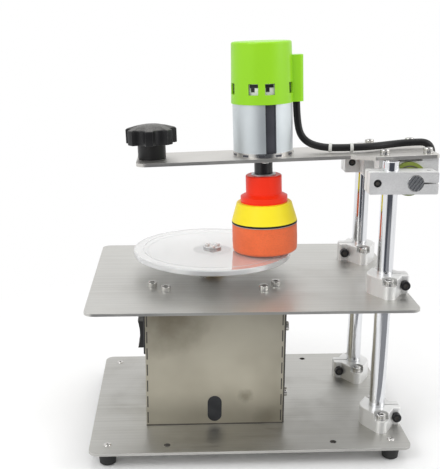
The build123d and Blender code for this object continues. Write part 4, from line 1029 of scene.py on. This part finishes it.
@dataclass
class Turntable:
    """The clear turntable on its spindle. Sizes in millimetres."""

    screw_ring: float = 4.6
    disc_r: float = 61.7
    disc_t: float = 6.0
    bore_r: float = 1.2
    flat_r: float = 54.0
    step_r: float = 50.0
    rim_t: float = 4.4

    def disc(self) -> Object:
        """The disc: flat on top with a fine groove, thinner towards its rim below."""
        low, rim, groove = -self.disc_t, -self.rim_t, self.flat_r
        profile = [
            (self.bore_r, low), (self.step_r, low), (self.step_r + 1.5, rim),
            (self.disc_r - 0.7, rim), (self.disc_r, rim + 0.7), (self.disc_r, -0.7),
            (self.disc_r - 0.7, 0.0), (groove + 0.4, 0.0), (groove, -0.35), (groove - 0.4, 0.0),
            (self.bore_r, 0.0),
        ]
        shape = Shape(on_top("turntable_disc", SPINDLE_AT)).lathe(profile, 160, closed=True)
        return shape.object("turntable_clear", Look.DISC, 20.0)

    def build(self, fasteners: Fasteners) -> None:
        """Make the turntable's disc and its three screws, and dress its spindle."""
        settle(self.disc(), "turntable", "turntable_disc")
        dress(Look.SHAFT, "output_shaft", "turntable_spindle")
        dress(Look.BRASS, "spindle_bush")
        dress(Look.DISC, "centring_hub")
        points = round_points(self.screw_ring, [30 + 120 * n for n in range(3)])
        spots = spots_on(on_top("centring_hub", SPINDLE_AT), points)
        fasteners.row("hub_screws", "turntable", HUB_CAP, spots, Look.HUB_SCREW, shade=False)


@dataclass
class Uprights:
    """The rods, their supports and clamps, and the hinge. Sizes in millimetres."""

    lobe_reach: float = 15.0
    lobe_h: float = 9.5
    lug_reach: float = 13.8
    lug_half: float = 6.0
    collar_mid: float = 7.0
    clamp_reach: float = 10.8
    clamp_in: float = 3.3
    pivot_screw: float = 11.0
    hinge_x: float = 16.0
    hinge_y: float = 25.2
    hinge_top: float = 17.0
    rib_r: float = 5.5
    rib_half: float = 0.5
    rib_pitch: float = 2.2
    rib_lean: float = 35.0  # degrees
    groove_r: Pair = (9.0, 10.0)

    def build(self, fasteners: Fasteners) -> None:
        """Dress the uprights and make their screws."""
        dress(Look.CHROME, "rod_front", "rod_back")
        dress(Look.SHAFT, "pivot_shaft")
        dress(Look.BLOCK, "rod_clamp_front", "rod_clamp_back", "hinge_block_front",
              "hinge_block_back")
        dress(Look.BUSH, "flange_bushes")
        dress(Look.STEEL_SCREW, "support_nuts")
        self.support_screws(fasteners)
        self.clamp_screws(fasteners)
        settle(self.ribbed_end(), "frame")
        low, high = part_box("flange_bushes")
        inner, outer = self.groove_r
        groove = [(inner, -0.2), (outer, -0.2), (outer, 0.06), (inner, 0.06)]
        ring = Shape().lathe(groove, 64, closed=True)
        spots = [(Vector((PIVOT_AT.x, y, PIVOT_AT.z)), BACK * out, RIGHT)
                 for y, out in ((low.y, -1), (high.y, 1))]
        settle(fasteners.tree.put("bush_grooves", ring, spots, Look.JOINT_AND_SHADE), "arm")
        hinge = ARM @ Matrix.Translation(UP * self.hinge_top * MM)
        spots = spots_on(hinge, corners(self.hinge_x, self.hinge_y))
        fasteners.row("hinge_screws", "arm", M4.long(10.5), spots)

    def support_screws(self, fasteners: Fasteners) -> None:
        """Dress the rods' supports and make the screws that hold and close them."""
        seats, lugs = [], []
        for level in ("base", "mid"):
            for end, side in (("front", 1), ("back", -1)):
                name = f"rod_support_{level}_{end}"
                dress(Look.CAST, name)
                low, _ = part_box(name)
                rod = middle(f"rod_{end}")
                seat = Matrix.Translation((rod.x, rod.y, low.z + self.lobe_h * MM))
                seats += spots_on(seat, [(0, -self.lobe_reach), (0, self.lobe_reach)])
                lug = Vector((rod.x + side * self.lug_reach * MM, rod.y - self.lug_half * MM,
                              low.z + self.collar_mid * MM))
                lugs += spots_on(standing(lug, RIGHT, -BACK))
        fasteners.row("support_screws", "frame", M4.long(14.7), seats)
        fasteners.row("support_clamp_screws", "frame", M4, lugs, Look.DARK_SCREW)

    def ribbed_end(self) -> Object:
        """The slanting ribs that show on the pivot shaft's front end."""
        low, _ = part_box("pivot_shaft")
        shape = Shape(Matrix.Translation((PIVOT_AT.x, low.y, PIVOT_AT.z)))
        lean = Matrix.Rotation(radians(self.rib_lean), 4, "Y")
        for count in range(-2, 3):
            offset = count * self.rib_pitch
            reach = sqrt(self.rib_r ** 2 - offset ** 2)
            shape.slab((offset - self.rib_half, -0.12, -reach),
                       (offset + self.rib_half, 0.3, reach), 0.0, lean)
        return shape.object("pivot_end_ribs", Look.GEARBOX)

    def clamp_screws(self, fasteners: Fasteners) -> None:
        """The screws that close the rod clamps, from the front and from below."""
        fronts, unders = [], []
        for end in ("front", "back"):
            low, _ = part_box(f"rod_clamp_{end}")
            rod = middle(f"rod_{end}")
            front = Vector((rod.x - self.clamp_reach * MM, low.y + self.clamp_in * MM, PIVOT_AT.z))
            fronts += spots_on(standing(front, RIGHT, -BACK))
            under = Vector((PIVOT_AT.x + self.pivot_screw * MM, rod.y, low.z + self.clamp_in * MM))
            unders += spots_on(standing(under, RIGHT, -UP))
        fasteners.row("rod_clamp_screws", "frame", M3, fronts, Look.DARK_SCREW)
        fasteners.row("rod_clamp_screws", "frame", M3, unders, Look.DARK_SCREW, serves=False)


@dataclass
class Arm:
    """The arm with its star knob. Sizes in millimetres, in the knob's own place on the arm."""

    knob_u: float = -187.0
    arm_top: float = 17.0
    radius: float = 19.2
    lobes: int = 7
    flute_r: float = 6.0
    flute_at: float = 20.7
    blend: float = 1.0  # how far a flute's edge is softened
    stem_r: float = 10.5
    stem_h: float = 11.5
    head_h: float = 11.0
    dome: float = 3.5
    turn: float = 3.0  # degrees of a lobe from the front
    sides: int = 196
    motor_screw_up: float = 14.5
    motor_screw_out: float = 14.5

    def outline(self, angle: float) -> float:
        """The knob's radius at an angle, as a share of its full radius."""
        step = tau / self.lobes
        off = (angle + pi / 2 + radians(self.turn)) % step - step / 2
        inside = self.flute_r ** 2 - (self.flute_at * sin(off)) ** 2
        flute = self.radius + self.flute_r
        if inside > 0:
            flute = self.flute_at * cos(off) - sqrt(inside)
        near = max(self.blend - abs(flute - self.radius), 0.0) / self.blend
        return (min(flute, self.radius) - near * near * self.blend / 4) / self.radius

    def knob(self) -> Object:
        """The knob, all its rims rounded."""
        r, stem, low, rim = self.radius, self.stem_r, self.stem_h, self.stem_h + self.head_h
        steps = [  # radius, height and how much of the star's outline shows
            (stem - 0.6, 0.0, 0.0), (stem, 0.6, 0.0), (stem, low - 0.8, 0.0),
            (stem + 0.8, low, 0.0), (r - 1.3, low, 1.0), (r - 0.3, low + 0.2, 1.0),
            (r, low + 0.8, 1.0), (r, rim - 0.9, 1.0), (r - 0.15, rim - 0.3, 1.0),
            (r - 0.6, rim + 0.1, 1.0), (r - 1.5, rim + 0.5, 1.0),
        ]
        for share in (0.85, 0.7, 0.55, 0.4, 0.25, 0.1):
            height = rim + 0.5 + (self.dome - 0.5) * (1 - (share / 0.9) ** 2)
            steps.append((r * share, height, min(1.0, max(0.0, (share - 0.3) / 0.5))))
        rings = [circle(radius, z, self.sides, lambda a, s=star: 1.0 + s * (self.outline(a) - 1.0))
                 for radius, z, star in steps]
        place = ARM @ Matrix.Translation((self.knob_u * MM, 0, self.arm_top * MM))
        return Shape(place).stack(rings).object("star_knob_soft", Look.KNOB, 50.0)

    def build(self, fasteners: Fasteners) -> None:
        """Dress the arm and make the knob and the motor's screws."""
        dress(Look.ARM, "arm_plate")
        dress(Look.STEEL_SCREW, "knob_stud")
        settle(self.knob(), "arm", "star_knob")
        under = MOTOR @ Matrix.Translation(UP * self.motor_screw_up * MM)
        spots = spots_on(under @ Matrix.Rotation(pi, 4, "X"),
                         [(0, -self.motor_screw_out), (0, self.motor_screw_out)])
        fasteners.row("motor_screws", "arm", M3_LOW.long(7.5), spots)


@dataclass
class PadMotor:
    """The motor that turns the pad, with its sleeve and its cap. Sizes in millimetres."""

    foot_in: float = 22.36
    foot_out: float = 22.6
    foot_low: float = 17.1
    foot_high: float = 20.4
    foot_gaps: int = 11
    bell_r: float = 20.0
    window_up: float = 66.9
    window_turn: float = -6.5  # degrees
    window_angles: tuple[float, ...] = (15.5, 69.5, 124.0, 164.5)

    def build(self, tree: Standing) -> None:
        """Dress the motor and make the ring at its foot and what shows in the cap's windows.

        Args:
            tree: The tree that stands parts on spots.
        """
        dress(Look.CAN, "motor_can")
        dress(Look.SLEEVE, "flux_ring")
        dress(Look.CAP, "motor_cap")
        dress(Look.BELL, "motor_bell")
        dress(Look.SHAFT, "motor_shaft")
        ring = [(self.foot_in, self.foot_low), (self.foot_out, self.foot_low),
                (self.foot_out, self.foot_high), (self.foot_in, self.foot_high)]
        foot = Shape(MOTOR).lathe(ring, closed=True).object("can_foot_ring", Look.STEEL_SCREW)
        settle(foot, "arm")
        gap = Shape().slab((-1.1, -2.5, -0.3), (0.7, 2.5, 0.12), 0.05)
        gaps = self.round_spots([360 / self.foot_gaps * n for n in range(self.foot_gaps)],
                                self.foot_out, (self.foot_low + self.foot_high) / 2)
        settle(tree.put("can_foot_gaps", gap, gaps, Look.CAN), "arm")
        block = Shape().slab((1.2, -3.2, -0.4), (3.6, 3.2, 0.5), 0.2)
        block.slab((-1.8, -0.2, -0.4), (1.4, 2.4, 0.6), 0.2)
        angles = [270 + self.window_turn + side * a for a in self.window_angles for side in (-1, 1)]
        shown = self.round_spots(angles, self.bell_r, self.window_up)
        settle(tree.put("bell_blocks", block, shown, Look.COUPLING), "arm")

    @staticmethod
    def round_spots(angles: Sequence[float], radius: float, up: float) -> list[Spot]:
        """Spots round the motor that face outwards, at angles in degrees from the arm's length."""
        outs = [MOTOR.to_3x3() @ Vector((x, y, 0)) for x, y in round_points(1.0, angles)]
        return [(MOTOR @ (UP * up * MM) + out * radius * MM, out, MOTOR_AXIS) for out in outs]


@dataclass
class PolishingHead:
    """The coupling, the hub and the hook-on pad. Sizes in millimetres, from the pivot's height."""

    radius: float = 25.2
    hook_top: float = -34.0
    hook_t: float = 1.6
    loop_t: float = 0.4
    foam_h: float = 21.6
    foam_in: float = 0.25  # how much less its radius is than the hooks'
    foam_steps: int = 24
    foam_sides: int = 192
    belly: float = 0.18
    low_round: Pair = (1.3, 1.6)  # how far in and how far up the worn lower edge goes
    high_round: Pair = (0.5, 0.7)
    dents: tuple[Pair, ...] = ((260.0, 0.10), (1100.0, 0.06))  # per metre, and depth

    def build(self) -> None:
        """Dress the head and make its soft layers."""
        dress(Look.COUPLING, "drive_coupling")
        dress(Look.HUB, "pad_hub")
        dress(Look.SLEEVE, "hub_ring")
        dress(Look.CONE, "backing_cone")
        r, top = self.radius, self.hook_top
        low = top - self.hook_t
        hooks = [(r - 0.5, low), (r, low + 0.3), (r, top - 0.3), (r - 0.5, top)]
        loops = [(r - 0.2, low - self.loop_t), (r, low - self.loop_t * 0.7), (r, low - 0.1),
                 (r - 0.2, low)]
        for name, profile, look, node in (("hook_layer", hooks, Look.HOOKS, "hook_disc"),
                                          ("loop_layer", loops, Look.LOOPS, "loop_disc")):
            layer = Shape(MOTOR).lathe(profile, 128).object(name, look)
            settle(layer, "pad_spindle", node)
        settle(self.foam(low - self.loop_t), "pad_spindle", "polishing_pad")

    def foam(self, top: float) -> Object:
        """The foam pad, its skin uneven and its lower edge worn round.

        Args:
            top: Its top over the motor's place, in millimetres.

        Returns:
            The pad.
        """
        rings = []
        for step in range(self.foam_steps + 1):
            share = step / self.foam_steps
            low = max(0.0, 1.0 - share * self.foam_h / self.low_round[1])
            high = max(0.0, 1.0 - (1 - share) * self.foam_h / self.high_round[1])
            radius = (self.radius - self.foam_in + self.belly * sin(pi * share)
                      - self.low_round[0] * low ** 2 - self.high_round[0] * high ** 2)
            ring = circle(radius, top - self.foam_h * (1 - share), self.foam_sides)
            for point in ring:
                shift = sum(noise.noise(point * scale) * depth for scale, depth in self.dents)
                point += Vector((point.x, point.y, 0)).normalized() * shift * MM
            rings.append(ring)
        inner_low = [Vector((p.x * 0.9, p.y * 0.9, p.z)) for p in rings[0]]
        pad = Shape(MOTOR).stack([inner_low, *rings]).object("foam_pad", Look.FOAM, 60.0)
        return pad


@dataclass
class MotorCable:
    """The motor's cable and its two ties. Sizes in millimetres."""

    radius: float = 2.75
    sides: int = 20
    drop: float = 22.0
    outlet: Point = (25.6, 0.0, 62.05)
    ties_along: Pair = (57.0, 72.8)
    route: list[Point] = field(default_factory=lambda: [
        (42.5, -3.8, 226.5), (56.0, -8.5, 221.5), (78.0, -12.8, 222.3), (94.0, -11.2, 222.9),
        (110.0, -4.2, 223.5), (124.5, -3.5, 224.9), (140.4, -5.0, 225.4), (144.8, 1.0, 209.5),
        (149.0, 17.0, 202.0), (147.5, 35.0, 197.0), (138.5, 51.5, 193.0), (121.0, 59.0, 190.0),
        (106.0, 59.0, 181.0), (103.5, 57.5, 161.0), (103.8, 61.0, 143.0), (106.0, 68.5, 127.0),
        (106.0, 68.5, 112.0), (99.7, 64.5, 99.0), (88.8, 57.5, 91.5), (66.0, 43.0, 91.0),
        (44.0, 28.5, 98.0), (19.0, 28.5, 98.0),
    ])

    def points(self) -> list[Vector]:
        """The route's points in metres. Their X is from the plates' middle."""
        start = MOTOR @ (Vector(self.outlet) * MM)
        plate_x = middle("base_plate").x
        run = [start, start - MOTOR_AXIS * self.drop * MM]
        return run + [Vector((plate_x + x * MM, y * MM, z * MM)) for x, y, z in self.route]

    def line(self) -> Mesh:
        """The cable's centreline: a smooth curve with the route as its control points."""
        curve = bpy.data.curves.new("cable_line", "CURVE")
        curve.dimensions = "3D"
        curve.resolution_u = 14
        spline = curve.splines.new("NURBS")
        points = self.points()
        spline.points.add(len(points) - 1)
        for knot, point in zip(spline.points, points):
            knot.co = (*point, 1.0)
        spline.order_u = 3
        spline.use_endpoint_u = True
        return meshed(linked("cable_line", curve))

    @staticmethod
    def along(path: Sequence[Vector], distance: float) -> tuple[Vector, Vector]:
        """A point on the path and the path's direction there.

        Args:
            path: The centreline's points.
            distance: How far along, in metres.

        Returns:
            The point and the unit direction.
        """
        gone = 0.0
        for here, there in zip(path, path[1:]):
            step = (there - here).length
            if gone + step >= distance:
                break
            gone += step
        return here.lerp(there, (distance - gone) / step), (there - here).normalized()

    def tie(self) -> Shape:
        """One tie about Z: a band, its lock and the cut end of its tail, to the side."""
        inner = self.radius + 0.05
        outer = inner + 0.5
        band = [(inner, -1.2), (outer - 0.15, -1.2), (outer, -1.05), (outer, 1.05),
                (outer - 0.15, 1.2), (inner, 1.2)]
        shape = Shape().lathe(band, 48, closed=True)
        shape.slab((outer - 0.35, -1.5, -1.4), (outer + 1.2, 1.5, 1.4), 0.3)
        return shape.slab((outer + 0.1, 1.2, -1.0), (outer + 0.7, 2.3, 1.0), 0.2)

    def build(self, sheath: Sheath, standing_tree: Standing) -> None:
        """Make the cable and its ties.

        Args:
            sheath: The tree that draws a sheath on a line.
            standing_tree: The tree that stands parts on spots.
        """
        line = self.line()
        path = [vertex.co.copy() for vertex in line.vertices]
        size = {"Radius": self.radius * MM, "Sides": self.sides}
        cable = sheath.bake("motor_cable_sheath", line, size, Look.CABLE, 60.0)
        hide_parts("motor_cable")
        spots = []
        for distance in self.ties_along:
            at, way = self.along(path, distance * MM)
            spots.append((at, way, -way.cross(MOTOR_AXIS).normalized()))
        ties = standing_tree.put("cable_tie_bands", self.tie(), spots, Look.TIE)
        settle(ties, "arm", "cable_ties")
        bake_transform(cable)


# ---------------------------------------------------------------- studio
@dataclass
class Studio:
    """Pale floor, white surround, three soft lamps and the camera. Sizes in metres."""

    eye: Point = (-0.064036, -0.621995, 0.316726)
    yaw: float = 0.055
    pitch: float = 0.258
    roll: float = 0.007
    focal_px: float = 827.38
    width_px: float = 440.0
    sensor: float = 36.0  # millimetres
    floor_r: float = 2.2
    floor_fade: Pair = (0.15, 0.40)
    card: tuple[Pair, Pair] = ((0.055, -0.80), (0.40, -0.115))
    card_up: float = 0.001
    card_colour: Colour = (0.30, 0.305, 0.32)
    opening: Pair = (-0.84, -0.72)  # how far the way to it looks forward
    opening_colour: Colour = (0.07, 0.075, 0.09)
    sky_light: float = 0.80

    def camera(self) -> None:
        """The photograph's viewpoint."""
        forward = Vector((sin(self.yaw) * cos(self.pitch), cos(self.yaw) * cos(self.pitch),
                          -sin(self.pitch)))
        level = Vector((cos(self.yaw), -sin(self.yaw), 0))
        above = level.cross(forward)
        right = cos(self.roll) * level + sin(self.roll) * above
        up = cos(self.roll) * above - sin(self.roll) * level
        data = bpy.data.cameras.new("photo_camera")
        data.sensor_fit = "HORIZONTAL"
        data.sensor_width = self.sensor
        data.lens = self.focal_px * self.sensor / self.width_px
        data.clip_start = 0.01
        holder = linked("photo_camera", data)
        turned = Matrix((right, up, -forward)).transposed().to_4x4()
        holder.matrix_world = Matrix.Translation(self.eye) @ turned
        bpy.context.scene.camera = holder

    @staticmethod
    def sheet(name: str, outline: Sequence[Sequence[float]], paint: Material,
              unseen_by: Sequence[str] = ()) -> None:
        """Lay one flat face that belongs to the studio.

        Args:
            name: Its name.
            outline: Its corners.
            paint: Its material.
            unseen_by: Kinds of ray that don't meet it.
        """
        data = bpy.data.meshes.new(name)
        data.from_pydata(outline, [], [list(range(len(outline)))])
        data.materials.append(paint)
        holder = linked(name, data)
        for kind in unseen_by:
            setattr(holder, f"visible_{kind}", False)

    def floor(self) -> None:
        """A pale floor that fades into the surround."""
        made = bpy.data.materials.new("pale floor")
        wires = emptied(made)
        away = wires.measure("LENGTH", wires.out("ShaderNodeTexCoord", output="Object"))
        seen = wires.out("ShaderNodeMixShader", {
            0: wires.spread(away, 0.0, 1.0, *self.floor_fade),
            1: wires.out("ShaderNodeBsdfDiffuse", {"Color": (*grey(0.97), 1.0)}),
            2: wires.out("ShaderNodeBsdfTransparent"),
        })
        wires.add("ShaderNodeOutputMaterial", {"Surface": seen})
        self.sheet("studio_floor", circle(self.floor_r / MM, 0.0, 96), made)

    def grey_card(self) -> None:
        """A grey card on the floor in front of the rods, seen only as a reflection."""
        made = bpy.data.materials.new("grey card")
        wires = emptied(made)
        glow = {"Color": (*self.card_colour, 1.0), "Strength": 1.0}
        wires.add("ShaderNodeOutputMaterial", {"Surface": wires.out("ShaderNodeEmission", glow)})
        (left, near), (right, far) = self.card
        outline = [(x, y, self.card_up)
                   for x, y in ((left, near), (right, near), (right, far), (left, far))]
        self.sheet("grey_card", outline, made,
                   ("camera", "diffuse", "transmission", "volume_scatter", "shadow"))

    def surround(self) -> None:
        """White all round, with the dark opening behind the camera that metal shows."""
        white = grey(1.0)
        world = bpy.data.worlds.new("studio")
        wires = emptied(world)
        way = wires.out("ShaderNodeTexCoord", output="Generated")
        ahead = wires.out("ShaderNodeSeparateXYZ", {0: way}, "Y")
        opening = wires.spread(ahead, 1.0, 0.0, *self.opening)
        mirrored = wires.tint(opening, white, self.opening_colour)
        ray = wires.add("ShaderNodeLightPath").outputs
        glossy = ray["Is Glossy Ray"]
        direct = wires.sum_up("MAXIMUM", ray["Is Camera Ray"], ray["Is Transmission Ray"])
        backdrop = {"Color": wires.tint(glossy, white, mirrored), "Strength": 1.0}
        light = {"Color": (*white, 1.0), "Strength": self.sky_light}
        both = wires.out("ShaderNodeMixShader", {
            0: wires.sum_up("MAXIMUM", direct, glossy),
            1: wires.out("ShaderNodeBackground", light),
            2: wires.out("ShaderNodeBackground", backdrop),
        })
        wires.add("ShaderNodeOutputWorld", {"Surface": both})
        bpy.context.scene.world = world

    def lamp(self, name: str, at: Point, aim: Point, size: float, power: float) -> None:
        """One square soft lamp.

        Args:
            name: Its name.
            at: Where it hangs, in metres.
            aim: What it points at.
            size: Its side.
            power: In watts.
        """
        data = bpy.data.lights.new(name, "AREA")
        data.size = size
        data.energy = power
        holder = linked(name, data)
        holder.location = at
        holder.rotation_euler = (Vector(aim) - Vector(at)).to_track_quat("-Z", "Y").to_euler()

    def build(self) -> None:
        """Set the studio up."""
        self.camera()
        self.floor()
        self.grey_card()
        self.surround()
        self.lamp("key_lamp", (-0.75, -0.75, 0.95), (0.0, 0.0, 0.14), 0.6, 5.0)
        self.lamp("side_lamp", (0.95, -0.35, 0.60), (0.0, 0.0, 0.14), 0.5, 2.5)
        self.lamp("top_lamp", (0.05, 0.25, 1.20), (0.0, 0.0, 0.10), 0.8, 3.0)
        bpy.context.scene.view_settings.view_transform = "Standard"


def main() -> None:
    """Build the looks in order."""
    logging.basicConfig(level=logging.INFO, format="%(name)s: %(message)s")
    Studio().build()
    standing_tree = Standing()
    fasteners = Fasteners(standing_tree)
    MotorCable().build(Sheath(), standing_tree)
    Plates().build(fasteners)
    DriveBox().build(fasteners)
    Turntable().build(fasteners)
    Uprights().build(fasteners)
    Arm().build(fasteners)
    PadMotor().build(standing_tree)
    PolishingHead().build()


if __name__ == "__main__":
    main()
